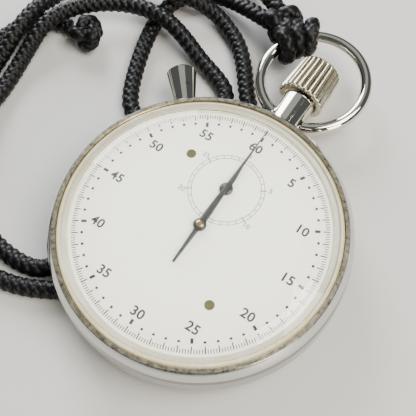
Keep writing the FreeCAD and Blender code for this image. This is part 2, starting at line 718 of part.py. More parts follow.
def spiral_strip(inner, outer, turns, thickness, low, height, spot):
    """A flat spring: an Archimedean spiral from the inner to the outer radius, with square ends."""
    steps = int(turns * 12)
    sides = []
    for offset in (0, thickness):
        points = []
        for index in range(steps + 1):
            angle = 2 * math.pi * turns * index / steps
            radius = inner + (outer - inner) * index / steps + offset
            points.append(V(radius * math.cos(angle), radius * math.sin(angle), 0))
        curve = Part.BSplineCurve()
        curve.interpolate(points)
        sides.append(curve.toShape())
    ends = [Part.makeLine(sides[0].Vertexes[index].Point, sides[1].Vertexes[index].Point) for index in (0, -1)]
    face = Part.Face(Part.Wire(Part.__sortEdges__([sides[0], ends[1], sides[1], ends[0]])))
    strip = face.extrude(V(0, 0, height))
    strip.translate(V(spot.x, spot.y, low))
    return strip


piece("hairspring", shaped("hairspring_strip", spiral_strip(
    0.75, 3.1, 9, 0.07, bridge_top + 0.15, 0.25, balance)))

# ---------------------------------------------------------------- barrel and keyless work
barrel_low = size("barrel_floor")
barrel_high = size("barrel_floor + barrel_height")
drum_radius = tooth * size("barrel_teeth") / 2 - 0.3
drum = post(drum_radius, barrel_low, barrel_high - 0.35, barrel).fuse(toothed_disc(
    int(size("barrel_teeth")), tooth, barrel_high - 0.9, 0.5, barrel, facing(barrel, minute)))
drum = drum.cut(post(drum_radius - 0.5, barrel_low + 0.3, barrel_high + 1, barrel))
drum = drum.cut(post(0.75, barrel_low - 1, barrel_high, barrel))
piece("barrel_drum", shaped("barrel_drum_turned", drum.removeSplitter()))
cover = post(drum_radius, barrel_high - 0.35, barrel_high, barrel).cut(
    post(0.75, barrel_low, barrel_high + 1, barrel))
piece("barrel_cover", shaped("barrel_cover_turned", cover))
piece("mainspring", shaped("mainspring_strip", spiral_strip(
    1.75, drum_radius - 0.75, 8, 0.14, barrel_low + 0.4, barrel_high - barrel_low - 0.9, barrel)))
barrel_arbor = post(0.7, bridge_top - 0.7, plate_floor + 0.6, barrel).fuse(
    post(1.6, barrel_low + 0.35, barrel_high - 0.4, barrel))
piece("barrel_arbor", shaped("barrel_arbor_turned", barrel_arbor.removeSplitter()))
keyless_low = bridge_top + 0.15
keyless_thickness = 0.5
piece("ratchet_wheel", shaped("ratchet_wheel_cut", toothed_disc(
    RATCHET_TEETH, RATCHET_MODULE, keyless_low, keyless_thickness, barrel, facing(barrel, crown_hub)).cut(
    post(0.7, keyless_low - 1, keyless_low + 2, barrel))))
crown_gear = toothed_disc(CROWN_TEETH, RATCHET_MODULE, keyless_low, keyless_thickness, crown_hub,
                          facing(crown_hub, barrel) + math.pi / CROWN_TEETH)
pinion_radius = 1.4
pinion_floor = size(AXIS_HEIGHT) - pinion_radius
face_teeth = []
for index in range(CROWN_TEETH):
    wedge = Part.makeBox(0.7, 0.36, pinion_floor - 0.06 - keyless_low - keyless_thickness + 0.1,
                         V(2.9, -0.18, keyless_low + keyless_thickness - 0.1))
    wedge.rotate(V(0, 0, 0), V(0, 0, 1), 360.0 * index / CROWN_TEETH)
    wedge.translate(V(crown_hub.x, crown_hub.y, 0))
    face_teeth.append(wedge)
crown_gear = crown_gear.multiFuse(face_teeth).cut(post(0.85, keyless_low - 1, keyless_low + 2, crown_hub))
piece("crown_wheel", shaped("crown_wheel_cut", crown_gear.removeSplitter()))
winding_pinion = toothed_disc(PINION_LEAVES, 2 * pinion_radius / (PINION_LEAVES + 1.4), 0, 2.0, V(0, 0, 0), 0)
winding_pinion = winding_pinion.cut(Part.makeCylinder(size("stem_radius + run_gap"), 4, V(0, 0, -1)))
winding_pinion.Placement = FreeCAD.Placement(
    V(0, size("case_bore") - 6.0, size(AXIS_HEIGHT)), ALONG_Y).multiply(winding_pinion.Placement)
piece("winding_pinion", shaped("winding_pinion_cut", winding_pinion))

click_pivot = barrel + V(6.9, -1.6, 0)
click_tip = barrel + V(4.72 * math.cos(math.radians(-56)), 4.72 * math.sin(math.radians(-56)), 0)
click = bar(click_pivot, click_tip + (click_tip - barrel) * 0.06, 0.8, keyless_low, keyless_thickness)
click = click.fuse(post(0.9, keyless_low, keyless_low + keyless_thickness, click_pivot))
ratchet_sweep = post(RATCHET_MODULE * RATCHET_TEETH / 2 + 0.7 * RATCHET_MODULE + 0.08, keyless_low - 1,
                     keyless_low + 2, barrel)
click = click.cut(ratchet_sweep).cut(post(0.5, keyless_low - 1, keyless_low + 2, click_pivot))
piece("click", shaped("click_cut", click.removeSplitter()))
spring_foot = click_pivot + V(2.0, -6.2, 0)
spring_end = click_pivot + V(-1.77, -1.98, 0)
click_spring = bar(spring_foot, spring_end, 0.18, keyless_low + 0.1, 0.3).fuse(
    post(0.7, bridge_top, keyless_low + keyless_thickness, spring_foot))
piece("click_spring", shaped("click_spring_bent", click_spring.removeSplitter()))

# ---------------------------------------------------------------- reset and stop levers
lever_low = size("lever_floor")
lever_thick = size("lever_thickness")


def plate_lever(corners, hole):
    """A flat lever cut from sheet, with a bore for its pivot screw."""
    points = [V(x, y, lever_low) for x, y in corners]
    sheet_shape = Part.Face(Part.makePolygon(points + points[:1])).extrude(V(0, 0, lever_thick))
    return sheet_shape.cut(post(size("screw_radius + run_gap"), lever_low - 1, lever_low + 2, hole))


hammer_pivot = V(-5.3, 18.8, 0)
tail = button_side * (size(HAMMER_FACE) - 0.5)
across = V(-button_side.y, button_side.x, 0)
tail_left = tail + button_side * 0.5 + across * 0.8
tail_right = tail + button_side * 0.5 - across * 0.8
heart_reach = 2.0
hammer = plate_lever([
    (-4.3, 19.5), (-4.3, 17.8), (-5.1, 12.5), (-5.0, 9.2),
    (-3.55, 8.5), (-3.55, 6.9), (-4.62, 6.0), (-4.62, -0.5), (-5.28, -0.5), (-5.28, 5.3),
    (-6.3, 7.5), (-6.7, 12.5), (-7.2, 16.2), (-10.9, 13.0),
    (tail_left.x, tail_left.y), (tail_right.x, tail_right.y), (-6.4, 19.3)], hammer_pivot)
tab = Part.makeBox(1.0, 1.6, lever_low - size(AXIS_HEIGHT) + 0.9, V(-0.5, -0.8, 0))
tab.rotate(V(0, 0, 0), V(0, 0, 1), math.degrees(math.atan2(button_side.y, button_side.x)))
tab.translate(V(tail.x, tail.y, size(AXIS_HEIGHT) - 0.8))
piece("reset_hammer", shaped("reset_hammer_cut", hammer.fuse(tab).removeSplitter()))


def heart_cam(spot):
    """A reset heart: its radius grows evenly from the notch on the hammer's side to the far point."""
    points = []
    for index in range(48):
        angle = 2 * math.pi * index / 48
        radius = 0.85 + (heart_reach - 0.85) * (1 - abs(angle - math.pi) / math.pi)
        points.append(V(spot.x - radius * math.cos(angle), spot.y + radius * math.sin(angle), lever_low))
    heart = Part.Face(Part.makePolygon(points + points[:1])).extrude(V(0, 0, lever_thick))
    return heart.cut(post(arbor_r, lever_low - 1, lever_low + 2, spot))


piece("seconds_heart", shaped("seconds_heart_cut", heart_cam(centre)))
piece("minute_heart", shaped("minute_heart_cut", heart_cam(minute)))

lever_pivot = V(7.0, 17.2, 0)
piece("operating_lever", shaped("operating_lever_cut", plate_lever([
    (0.6, size(FLANGE_INNER) - 0.05), (0.6, size(FLANGE_INNER) - 0.9), (5.8, 16.3), (7.6, 15.9), (11.9, 13.6),
    (12.6, 14.6), (8.2, 17.9), (6.6, 18.5), (5.4, 18.1), (2.4, size(FLANGE_INNER) - 0.05)], lever_pivot)))
brake_pivot = V(18.9, 4.0, 0)
brake_arm = plate_lever([
    (12.2, 15.2), (12.9, 15.5), (17.2, 10.6), (19.9, 4.6), (20.1, -2.0), (18.4, -4.2), (14.9, -6.9),
    (14.2, -7.7), (13.5, -7.3), (13.6, -6.8), (17.6, -3.2), (18.9, -1.6), (18.7, 2.2), (18.0, 4.2),
    (16.4, 9.6)], brake_pivot)
brake_pin = post(0.2, rim_low + 0.1, lever_low + 0.1, V(14.0, -7.2, 0))
piece("brake_lever", shaped("brake_lever_cut", brake_arm.fuse(brake_pin).removeSplitter()))

# ---------------------------------------------------------------- plates, bridges, jewels, screws
jewel_r = size("jewel_radius")
jewelled_below = [centre, minute, third, escape]
jewelled_above = [third, escape, pallet, balance]
bridge_pillars = {
    "barrel_bridge": [V(-2.9, 15.9, 0), V(13.9, -0.3, 0)],
    "train_bridge": [V(-16.5, 6.5, 0), V(-11.5, -7.8, 0)],
    "balance_cock": [V(15.9, balance.y, 0)],
}
studs = [hammer_pivot, lever_pivot, brake_pivot]
all_pillars = [spot for spots in bridge_pillars.values() for spot in spots]
STUDS = [V(size("stud_across"), -size("stud_along"), 0), V(-size("stud_across"), size("stud_along"), 0)]
foot_radius = 0.5

plate = rod("plate_blank", "plate_radius", "shelf_height", "shelf_height + plate_thickness")
plate_holes = []
for group, spots, radius in (
        ("jewel_hole", jewelled_above, "jewel_radius"),
        ("arbor_hole", [centre, minute], "arbor_radius + run_gap"),
        ("barrel_hole", [barrel], "0.7 + run_gap"),
        ("foot_hole", STUDS, foot_radius),
        ("screw_hole", all_pillars + studs, "screw_radius")):
    for index, spot in enumerate(spots):
        plate_holes.append(rod("%s_%d" % (group, index), radius, "shelf_height - 1",
                               "shelf_height + plate_thickness + 1", spot.x, spot.y))
piece("main_plate", without("plate_drilled", plate, *plate_holes))

movement_r = size("movement_radius")
BRIDGE_FIELDS = {
    "barrel_bridge": [(-3.5, 2.7, movement_r, movement_r), (12.3, -1.8, movement_r, 3.0)],
    "train_bridge": [(-movement_r, -9.6, -4.2, 15.5), (-5.0, -9.6, 2.6, 2.4)],
    "balance_cock": [(balance.x, balance.y - 2.2, movement_r, balance.y + 2.2)],
}


def bridge(name, spots_with_jewels, extra_holes):
    """A bridge: its field of the round movement, standing on pillars, drilled for jewels and screws."""
    low = size("bridge_back")
    disc = post(movement_r, low, bridge_top, centre)
    field = None
    for x_low, y_low, x_high, y_high in BRIDGE_FIELDS[name]:
        block = Part.makeBox(x_high - x_low, y_high - y_low, 2, V(x_low, y_low, low - 0.5))
        field = block if field is None else field.fuse(block)
    shape = disc.common(field)
    if name == "balance_cock":
        shape = shape.fuse(post(2.2, low, bridge_top, balance))
    for spot in bridge_pillars[name]:
        shape = shape.fuse(post(size("pillar_radius"), low, plate_floor, spot))
    for spot in bridge_pillars[name]:
        shape = shape.cut(post(size("screw_radius"), low - 1, plate_floor + 1, spot))
    for spot in spots_with_jewels:
        shape = shape.cut(post(jewel_r, low - 1, bridge_top + 1, spot))
    for spot, radius in extra_holes:
        shape = shape.cut(post(radius, low - 1, bridge_top + 1, spot))
    return piece(name, shaped(name + "_cut", shape.removeSplitter()))


bridge("barrel_bridge", [minute], [(barrel, 0.75), (crown_hub, size("screw_radius")),
                                   (click_pivot, size("screw_radius"))])
bridge("train_bridge", [centre, third, escape], [])
bridge("balance_cock", [balance], [])


def jewel(spot, low):
    """A pierced ruby bearing."""
    return post(jewel_r, low, low + 0.4, spot).cut(post(pivot_r + 0.02, low - 1, low + 1, spot))


rubies = [jewel(spot, bridge_top - 0.5) for spot in jewelled_below + [balance]]
rubies += [jewel(spot, plate_floor + 0.1) for spot in jewelled_above]
piece("jewels", shaped("jewel_set", Part.makeCompound(rubies)))

screw_r = size("screw_radius")
head_r = size("screw_head")


def screw(spot, head_low, head_high, tip, slot_side):
    """A slotted cheese-head screw; the slot is on the side of the head given by the sign."""
    body = post(head_r, head_low, head_high, spot).fuse(post(screw_r, min(head_high, tip), max(head_low, tip), spot))
    edge = head_low if slot_side < 0 else head_high
    slot = Part.makeBox(3, 0.24, 0.36, V(spot.x - 1.5, spot.y - 0.12, edge - 0.18))
    return body.cut(slot)


bridge_low = size("bridge_back")
fasteners = [screw(spot, bridge_low - 0.5, bridge_low, plate_floor + 1.2, -1) for spot in all_pillars]
fasteners += [screw(spot, lever_low - 0.5, lever_low - 0.05, plate_floor + 1.2, -1) for spot in studs]
for spot, collar in ((crown_hub, 0.8), (click_pivot, screw_r)):
    pivot_screw = post(head_r, bridge_low - 0.5, bridge_low, spot).multiFuse([
        post(screw_r, bridge_low - 0.1, bridge_top, spot),
        post(collar, bridge_top, keyless_low + keyless_thickness - 0.02, spot)])
    slot = Part.makeBox(3, 0.24, 0.18, V(spot.x - 1.5, spot.y - 0.12, bridge_low - 0.5))
    fasteners.append(pivot_screw.cut(slot).removeSplitter())
piece("movement_screws", shaped("screw_set", Part.makeCompound(fasteners)))

# ---------------------------------------------------------------- dial and hands
dial_disc = rod("dial_disc", "dial_radius", "dial_height - dial_thickness", "dial_height")
DIAL_HOLES = [rod("dial_hole_centre", "arbor_radius + 0.25", "dial_height - 1", "dial_height + 1"),
              rod("dial_hole_minute", "arbor_radius + 0.25", "dial_height - 1", "dial_height + 1",
                  0, "recorder_offset")]
for index, spot in enumerate(STUDS):
    DIAL_HOLES.append(rod("dial_hole_stud_%d" % index, "stud_radius", "dial_height - 1", "dial_height + 1",
                          spot.x, spot.y))
piece("dial", without("dial_drilled", dial_disc, *DIAL_HOLES))
dial_feet = [post(size("stud_radius"), DIAL_TOP - size("dial_thickness"), DIAL_TOP + 0.04, spot).fuse(
    post(foot_radius, plate_floor + 0.3, DIAL_TOP - size("dial_thickness"), spot)).removeSplitter()
    for spot in STUDS]
piece("dial_studs", shaped("dial_stud_pair", Part.makeCompound(dial_feet)))


def hand(spot, low, hub_low, hub_high, hub_radius, half_widths):
    """A flat hand: half widths at distances from its hub along +Y, with a round hub bored for the arbor."""
    right = [V(spot.x + half, spot.y + distance, low) for distance, half in half_widths]
    left = [V(spot.x - half, spot.y + distance, low) for distance, half in reversed(half_widths)]
    corners = right + left
    blade = Part.Face(Part.makePolygon(corners + corners[:1])).extrude(V(0, 0, size("hand_thickness")))
    whole = blade.fuse(post(hub_radius, hub_low, hub_high, spot))
    return whole.cut(post(0.3, low - 2, hub_high - 0.12, spot))


seconds_low = DIAL_TOP + size("seconds_lift")
reach = size("seconds_reach")
short = size("seconds_tail")
piece("seconds_hand", shaped("seconds_hand_cut", hand(
    centre, seconds_low, seconds_low - 0.35, seconds_low + 0.34, size("seconds_hub"), [
        (-short, 0.22), (-0.5 * short, 0.3), (-0.9, 0.5), (0.9, 0.62), (0.25 * reach, 0.5), (0.55 * reach, 0.26),
        (0.8 * reach, 0.12), (reach, 0.05)]).removeSplitter()))
piece("seconds_cap", turned("seconds_cap_turned", [
    (0, "dial_height + seconds_lift + 0.34"),
    ("0.6 * seconds_hub", "dial_height + seconds_lift + 0.34"),
    ("0.6 * seconds_hub", "dial_height + seconds_lift + 0.42"),
    ("0.35 * seconds_hub", "dial_height + seconds_lift + 0.5"),
    (0, "dial_height + seconds_lift + 0.52")]))
minute_low = DIAL_TOP + size("minute_lift")
small = size("minute_reach")
piece("minute_hand", shaped("minute_hand_cut", hand(
    minute, minute_low, minute_low - 0.08, minute_low + 0.32, size("minute_hub"), [
        (-1.0, 0.3), (0.9, 0.5), (0.5 * small, 0.34), (0.85 * small, 0.16), (small, 0.05)]).removeSplitter()))

# ---------------------------------------------------------------- lanyard
cord_r = size("cord_diameter") / 2
FLOOR = cord_r
OVER = 3 * cord_r + 0.15

# the long strand: bow knot, loop beyond the crown, under the case rim down its left side, out of
# it at the lower left, round in a wide loop, over itself and into the second knot
LONG_STRAND = [
    (-17.3, 50.5, 6.6), (-21.9, 53.6, 5.0), (-26.9, 57.4, 2.8), (-33.2, 61.4, 1.8),
    (-40.0, 63.4, FLOOR), (-46.0, 62.9, FLOOR), (-50.9, 59.5, FLOOR), (-53.4, 54.0, FLOOR),
    (-52.9, 48.0, FLOOR), (-49.5, 43.3, 2.4), (-44.0, 40.9, 4.4), (-38.2, 41.5, OVER),
    (-32.2, 43.6, OVER), (-26.8, 44.7, 2.8), (-22.0, 43.3, FLOOR), (-18.0, 40.8, FLOOR),
    (-14.4, 36.9, FLOOR), (-11.0, 32.3, FLOOR), (-8.2, 29.2, FLOOR), (-7.6, 25.5, FLOOR),
    (-9.9, 22.6, FLOOR), (-13.8, 20.4, FLOOR), (-18.6, 16.1, FLOOR), (-22.1, 10.8, FLOOR),
    (-24.2, 4.7, FLOOR), (-24.6, -1.8, FLOOR), (-23.8, -7.0, FLOOR), (-22.2, -11.4, FLOOR),
    (-20.2, -14.8, FLOOR), (-20.7, -18.0, FLOOR), (-23.7, -19.9, FLOOR), (-29.4, -20.1, FLOOR),
    (-35.6, -18.8, FLOOR), (-41.4, -16.6, FLOOR), (-46.9, -13.0, FLOOR), (-51.6, -8.6, FLOOR),
    (-55.0, -3.0, FLOOR), (-56.9, 4.2, FLOOR),
    (-57.0, 11.6, 2.3), (-56.9, 18.2, OVER), (-57.1, 25.0, OVER), (-57.0, 30.6, 2.6),
    (-57.8, 36.2, FLOOR), (-60.6, 41.2, FLOOR), (-65.3, 44.6, FLOOR), (-71.0, 45.4, FLOOR),
    (-76.4, 43.4, FLOOR), (-80.3, 38.9, FLOOR), (-81.8, 32.9, FLOOR), (-81.6, 26.0, FLOOR),
    (-81.9, 19.2, FLOOR), (-81.4, 13.0, FLOOR), (-79.4, 7.7, FLOOR), (-75.6, 3.9, FLOOR),
    (-70.5, 2.4, FLOOR), (-65.4, 3.8, FLOOR), (-61.9, 7.9, FLOOR), (-60.6, 13.2, FLOOR),
    (-60.2, 18.4, FLOOR), (-58.0, 22.8, FLOOR), (-54.0, 25.6, FLOOR), (-49.9, 26.2, FLOOR)]

# the short strand: bow knot, in beside the case rim under the reset button, back over its own
# start, over the long strand twice, and its end tucked under the case rim
SHORT_STRAND = [
    (-17.1, 46.5, 5.9), (-21.4, 47.8, 4.6), (-26.6, 48.9, 2.8), (-31.8, 48.2, FLOOR),
    (-35.4, 44.7, FLOOR), (-36.4, 39.6, FLOOR), (-35.7, 34.4, FLOOR), (-34.2, 29.2, FLOOR),
    (-32.4, 24.4, FLOOR), (-30.4, 20.0, FLOOR), (-27.9, 16.5, FLOOR), (-24.6, 15.9, FLOOR),
    (-21.8, 18.3, FLOOR), (-18.2, 21.6, FLOOR), (-14.9, 24.4, FLOOR), (-13.2, 27.1, FLOOR),
    (-14.1, 30.0, FLOOR), (-17.4, 31.9, FLOOR), (-22.6, 33.6, 2.0), (-27.9, 35.5, 3.8),
    (-33.2, 36.6, OVER), (-38.6, 36.2, OVER), (-43.7, 34.5, 5.0), (-48.1, 31.2, OVER),
    (-51.6, 27.0, OVER), (-53.3, 22.0, 5.1), (-53.4, 16.3, 2.8), (-52.7, 9.9, FLOOR),
    (-51.6, 3.6, 2.2), (-50.9, -3.0, OVER), (-51.3, -11.4, OVER), (-50.2, -18.0, 2.7),
    (-46.3, -22.4, FLOOR), (-40.9, -24.6, FLOOR), (-35.6, -24.9, FLOOR), (-30.4, -24.9, FLOOR),
    (-25.4, -24.3, FLOOR), (-20.4, -22.6, FLOOR), (-14.4, -19.0, FLOOR)]

piece("lanyard_long", shaped("lanyard_long_tube", tube_along(LONG_STRAND, cord_r)))
piece("lanyard_short", shaped("lanyard_short_tube", tube_along(SHORT_STRAND, cord_r)))

# Wrapped knot round the bow's wire, and the second knot where the long strand ends.
knot_start = 120
knot_sweep = 46
knot_r = size("knot_radius")
knot_lump = V(-11.6, size("bow_radius") - 1.9, 0)
END_KNOT = V(-45.6, 25.9, 3.3)
END_KNOT_RADIUS = 3.7
wrap_section = Part.Wire([Part.makeCircle(knot_r, V(size("bow_radius"), 0, 0), V(0, 1, 0))])
wrap = Part.Face(wrap_section).revolve(V(0, 0, 0), V(0, 0, 1), knot_sweep)
wrap.rotate(V(0, 0, 0), V(0, 0, 1), knot_start)
lump = Part.makeSphere(knot_r + 0.1, knot_lump)
wire_clear = Part.makeTorus(size("bow_radius"), size("bow_wire") + 0.02)
bow_knot = wrap.fuse(lump).cut(wire_clear)
bow_knot.Placement = FreeCAD.Placement(bow_centre, tilt)
piece("bow_knot", shaped("bow_knot_shape", bow_knot))
end_knot = Part.makeSphere(END_KNOT_RADIUS).transformGeometry(FreeCAD.Matrix(
    1.0, 0, 0, END_KNOT.x, 0, 0.95, 0, END_KNOT.y, 0, 0, 0.85, END_KNOT.z))
piece("end_knot", shaped("end_knot_shape", end_knot))

# ---------------------------------------------------------------- checks and files
doc.recompute()
for thing in doc.Objects:
    if "Invalid" in thing.State or "Error" in thing.State:
        raise ValueError("object failed: %s %s" % (thing.Label, thing.State))
for name, thing in pieces.items():
    if thing.Shape.isNull() or not thing.Shape.isValid():
        raise ValueError("bad shape: " + name)
os.makedirs("parts", exist_ok=True)
for name, thing in pieces.items():
    thing.Shape.exportStep("parts/%s.step" % name)
print("%d pieces" % len(pieces))
print("balance at %.3f %.3f, pallets at %.3f %.3f, escape at %.3f %.3f, third at %.3f %.3f"
      % (balance.x, balance.y, pallet.x, pallet.y, escape.x, escape.y, third.x, third.y))
print("barrel at %.3f %.3f, crown wheel at %.3f %.3f, click at %.3f %.3f"
      % (barrel.x, barrel.y, crown_hub.x, crown_hub.y, click_pivot.x, click_pivot.y))
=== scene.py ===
"""Mechanical stopwatch on its case back, with its lanyard knotted round the bow.

Everything is in metres in the part's frame: origin under the middle of the case back, +Z out through
the dial, +Y from the dial centre to the crown. Lengths below are written in millimetres and scaled.
"""
import math

import bpy
import numpy as np
from mathutils import Matrix, Vector


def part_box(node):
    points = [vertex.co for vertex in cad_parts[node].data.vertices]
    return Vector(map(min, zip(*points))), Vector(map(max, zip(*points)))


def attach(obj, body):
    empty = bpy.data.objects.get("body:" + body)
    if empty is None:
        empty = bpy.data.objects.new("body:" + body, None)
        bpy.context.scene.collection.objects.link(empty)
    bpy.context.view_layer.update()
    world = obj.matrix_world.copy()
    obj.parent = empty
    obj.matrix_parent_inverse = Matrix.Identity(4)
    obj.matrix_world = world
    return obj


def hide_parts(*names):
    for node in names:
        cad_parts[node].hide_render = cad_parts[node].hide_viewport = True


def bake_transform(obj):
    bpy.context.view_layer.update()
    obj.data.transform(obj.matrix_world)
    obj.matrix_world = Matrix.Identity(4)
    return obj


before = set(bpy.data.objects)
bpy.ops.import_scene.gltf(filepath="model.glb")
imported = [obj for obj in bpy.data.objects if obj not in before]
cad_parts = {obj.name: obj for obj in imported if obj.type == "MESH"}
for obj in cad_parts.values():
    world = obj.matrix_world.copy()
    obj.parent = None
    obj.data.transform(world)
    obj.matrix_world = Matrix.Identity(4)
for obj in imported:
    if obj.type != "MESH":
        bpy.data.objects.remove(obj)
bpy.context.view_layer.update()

MM = 0.001
TAU = 2 * math.pi


def node_box(name):
    """A CAD node's lowest and highest corners, in millimetres."""
    low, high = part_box(name)
    return np.array(low) / MM, np.array(high) / MM


DIAL_TOP = node_box("dial")[1][2]
crown_low, crown_high = node_box("crown")
AXIS_HEIGHT = (crown_low[2] + crown_high[2]) / 2
minute_low, minute_high = node_box("minute_arbor")
RECORDER = (minute_low[1] + minute_high[1]) / 2

# ---------------------------------------------------------------- camera
EYE = Vector((31.67, -39.90, 130.14)) * MM
FORWARD = Vector((-0.24891, 0.33363, -0.90925))
DOWN = Vector((0.49339, -0.76417, -0.41546))
right = DOWN.cross(FORWARD).normalized()
down = FORWARD.cross(right).normalized()
camera_data = bpy.data.cameras.new("camera")
camera_data.lens = 66.39
camera_data.sensor_width = 36.0
camera_data.clip_start = 0.005
camera = bpy.data.objects.new("camera", camera_data)
turn = Matrix((right, -down, -FORWARD.normalized())).transposed()
camera.matrix_world = Matrix.Translation(EYE) @ turn.to_4x4()
bpy.context.collection.objects.link(camera)
bpy.context.scene.camera = camera


# ---------------------------------------------------------------- mesh helpers
def mesh_piece(name, points, faces, smooth=True):
    """A mesh object from points in millimetres and faces as index lists."""
    mesh = bpy.data.meshes.new(name)
    mesh.from_pydata((np.asarray(points) * MM).tolist(), [], [list(face) for face in faces])
    mesh.polygons.foreach_set("use_smooth", np.full(len(mesh.polygons), smooth))
    mesh.update()
    thing = bpy.data.objects.new(name, mesh)
    bpy.context.collection.objects.link(thing)
    return thing


def grid_faces(rows, columns, close_rows=False, close_columns=False):
    """Quads over a grid of points numbered row by row; either direction may close on itself."""
    row_steps = rows if close_rows else rows - 1
    column_steps = columns if close_columns else columns - 1
    i, j = np.meshgrid(np.arange(row_steps), np.arange(column_steps), indexing="ij")
    after_i = (i + 1) % rows
    after_j = (j + 1) % columns
    quads = np.stack([i * columns + j, i * columns + after_j, after_i * columns + after_j,
                      after_i * columns + j], -1)
    return quads.reshape(-1, 4)


def set_float(thing, name, values):
    """Stores one number per point for the materials to read."""
    layer = thing.data.attributes.new(name, "FLOAT", "POINT")
    layer.data.foreach_set("value", np.asarray(values, np.float32).ravel())


# ---------------------------------------------------------------- lanyard
CORD_R = 1.7
FLOOR = CORD_R
OVER = 3 * CORD_R + 0.15

# long strand: bow knot, loop beyond the crown, under the case rim down its left side, out at the
# lower left, round in a wide loop, over itself and into the second knot
LONG_STRAND = [
    (-13.6, 48.9, 7.2), (-17.3, 50.9, 6.6), (-21.9, 53.6, 5.0), (-26.9, 57.4, 2.8), (-33.2, 61.4, 1.8),
    (-40.0, 63.4, FLOOR), (-46.0, 62.9, FLOOR), (-50.9, 59.5, FLOOR), (-53.4, 54.0, FLOOR),
    (-52.9, 48.0, FLOOR), (-49.5, 43.3, 2.4), (-44.0, 40.9, 4.4), (-38.2, 41.5, OVER),
    (-32.2, 43.6, OVER), (-26.8, 44.7, 2.8), (-22.0, 43.3, FLOOR), (-18.0, 40.8, FLOOR),
    (-14.4, 36.9, FLOOR), (-11.0, 32.3, FLOOR), (-8.2, 29.2, FLOOR), (-7.6, 25.5, FLOOR),
    (-9.9, 22.6, FLOOR), (-13.8, 20.4, FLOOR), (-18.6, 16.1, FLOOR), (-22.1, 10.8, FLOOR),
    (-24.2, 4.7, FLOOR), (-24.6, -1.8, FLOOR), (-23.8, -7.0, FLOOR), (-22.2, -11.4, FLOOR),
    (-20.2, -14.8, FLOOR), (-20.7, -18.0, FLOOR), (-23.7, -19.9, FLOOR), (-29.4, -20.1, FLOOR),
    (-35.6, -18.8, FLOOR), (-41.4, -16.6, FLOOR), (-46.9, -13.0, FLOOR), (-51.6, -8.6, FLOOR),
    (-55.0, -3.0, FLOOR), (-56.9, 4.2, FLOOR),
    (-57.0, 11.6, 2.3), (-56.9, 18.2, OVER), (-57.1, 25.0, OVER), (-57.0, 30.6, 2.6),
    (-57.8, 36.2, FLOOR), (-60.6, 41.2, FLOOR), (-65.3, 44.6, FLOOR), (-71.0, 45.4, FLOOR),
    (-76.4, 43.4, FLOOR), (-80.3, 38.9, FLOOR), (-81.8, 32.9, FLOOR), (-81.6, 26.0, FLOOR),
    (-81.9, 19.2, FLOOR), (-81.4, 13.0, FLOOR), (-79.4, 7.7, FLOOR), (-75.6, 3.9, FLOOR),
    (-70.5, 2.4, FLOOR), (-65.4, 3.8, FLOOR), (-61.9, 7.9, FLOOR), (-60.6, 13.2, FLOOR),
    (-60.2, 18.4, FLOOR), (-58.0, 22.8, FLOOR), (-54.0, 25.6, FLOOR), (-49.9, 26.2, FLOOR)]

# short strand: bow knot, in beside the case rim under the reset button, back over its own start,
# over the long strand twice, and its end tucked under the case rim
SHORT_STRAND = [
    (-13.4, 45.9, 6.6), (-17.1, 46.7, 5.9), (-21.4, 47.8, 4.6), (-26.6, 48.9, 2.8), (-31.8, 48.2, FLOOR),
    (-35.4, 44.7, FLOOR), (-36.4, 39.6, FLOOR), (-35.7, 34.4, FLOOR), (-34.2, 29.2, FLOOR),
    (-32.4, 24.4, FLOOR), (-30.4, 20.0, FLOOR), (-27.9, 16.5, FLOOR), (-24.6, 15.9, FLOOR),
    (-21.8, 18.3, FLOOR), (-18.2, 21.6, FLOOR), (-14.9, 24.4, FLOOR), (-13.2, 27.1, FLOOR),
    (-14.1, 30.0, FLOOR), (-17.4, 31.9, FLOOR), (-22.6, 33.6, 2.0), (-27.9, 35.5, 3.8),
    (-33.2, 36.6, OVER), (-38.6, 36.2, OVER), (-43.7, 34.5, 5.0), (-48.1, 31.2, OVER),
    (-51.6, 27.0, OVER), (-53.3, 22.0, 5.1), (-53.4, 16.3, 2.8), (-52.7, 9.9, FLOOR),
    (-51.6, 3.6, 2.2), (-50.9, -3.0, OVER), (-51.3, -11.4, OVER), (-50.2, -18.0, 2.7),
    (-46.3, -22.4, FLOOR), (-40.9, -24.6, FLOOR), (-35.6, -24.9, FLOOR), (-30.4, -24.9, FLOOR),
    (-25.4, -24.3, FLOOR), (-20.4, -22.6, FLOOR), (-14.4, -19.0, FLOOR)]

BRAID_COLUMNS = 4
BRAID_PERIOD = 1.62
BRAID_RELIEF = 0.34
CORD_SIDES = 40
CORD_STEP = 0.22
CORD_END = 0.6
FOLLOW_LENGTH = 42.0


def spline_line(name, points):
    """The points of a smooth spline whose control points are given, in millimetres."""
    curve = bpy.data.curves.new(name, "CURVE")
    curve.dimensions = "3D"
    spline = curve.splines.new("NURBS")
    spline.points.add(len(points) - 1)
    for slot, point in zip(spline.points, points):
        slot.co = (point[0] * MM, point[1] * MM, point[2] * MM, 1.0)
    spline.order_u = 3
    spline.use_endpoint_u = True
    curve.resolution_u = 24
    line_object = bpy.data.objects.new(name, curve)
    bpy.context.collection.objects.link(line_object)
    line = bpy.data.meshes.new_from_object(line_object)
    spots = np.empty(len(line.vertices) * 3)
    line.vertices.foreach_get("co", spots)
    bpy.data.objects.remove(line_object)
    return spots.reshape(-1, 3) / MM


def even_steps(line, step):
    """The same line with points an even step apart, and the distance along it of each."""
    lengths = np.r_[0.0, np.cumsum(np.linalg.norm(np.diff(line, axis=0), axis=1))]
    along = np.linspace(0.0, lengths[-1], int(lengths[-1] / step) + 1)
    return np.stack([np.interp(along, lengths, line[:, axis]) for axis in range(3)], -1), along


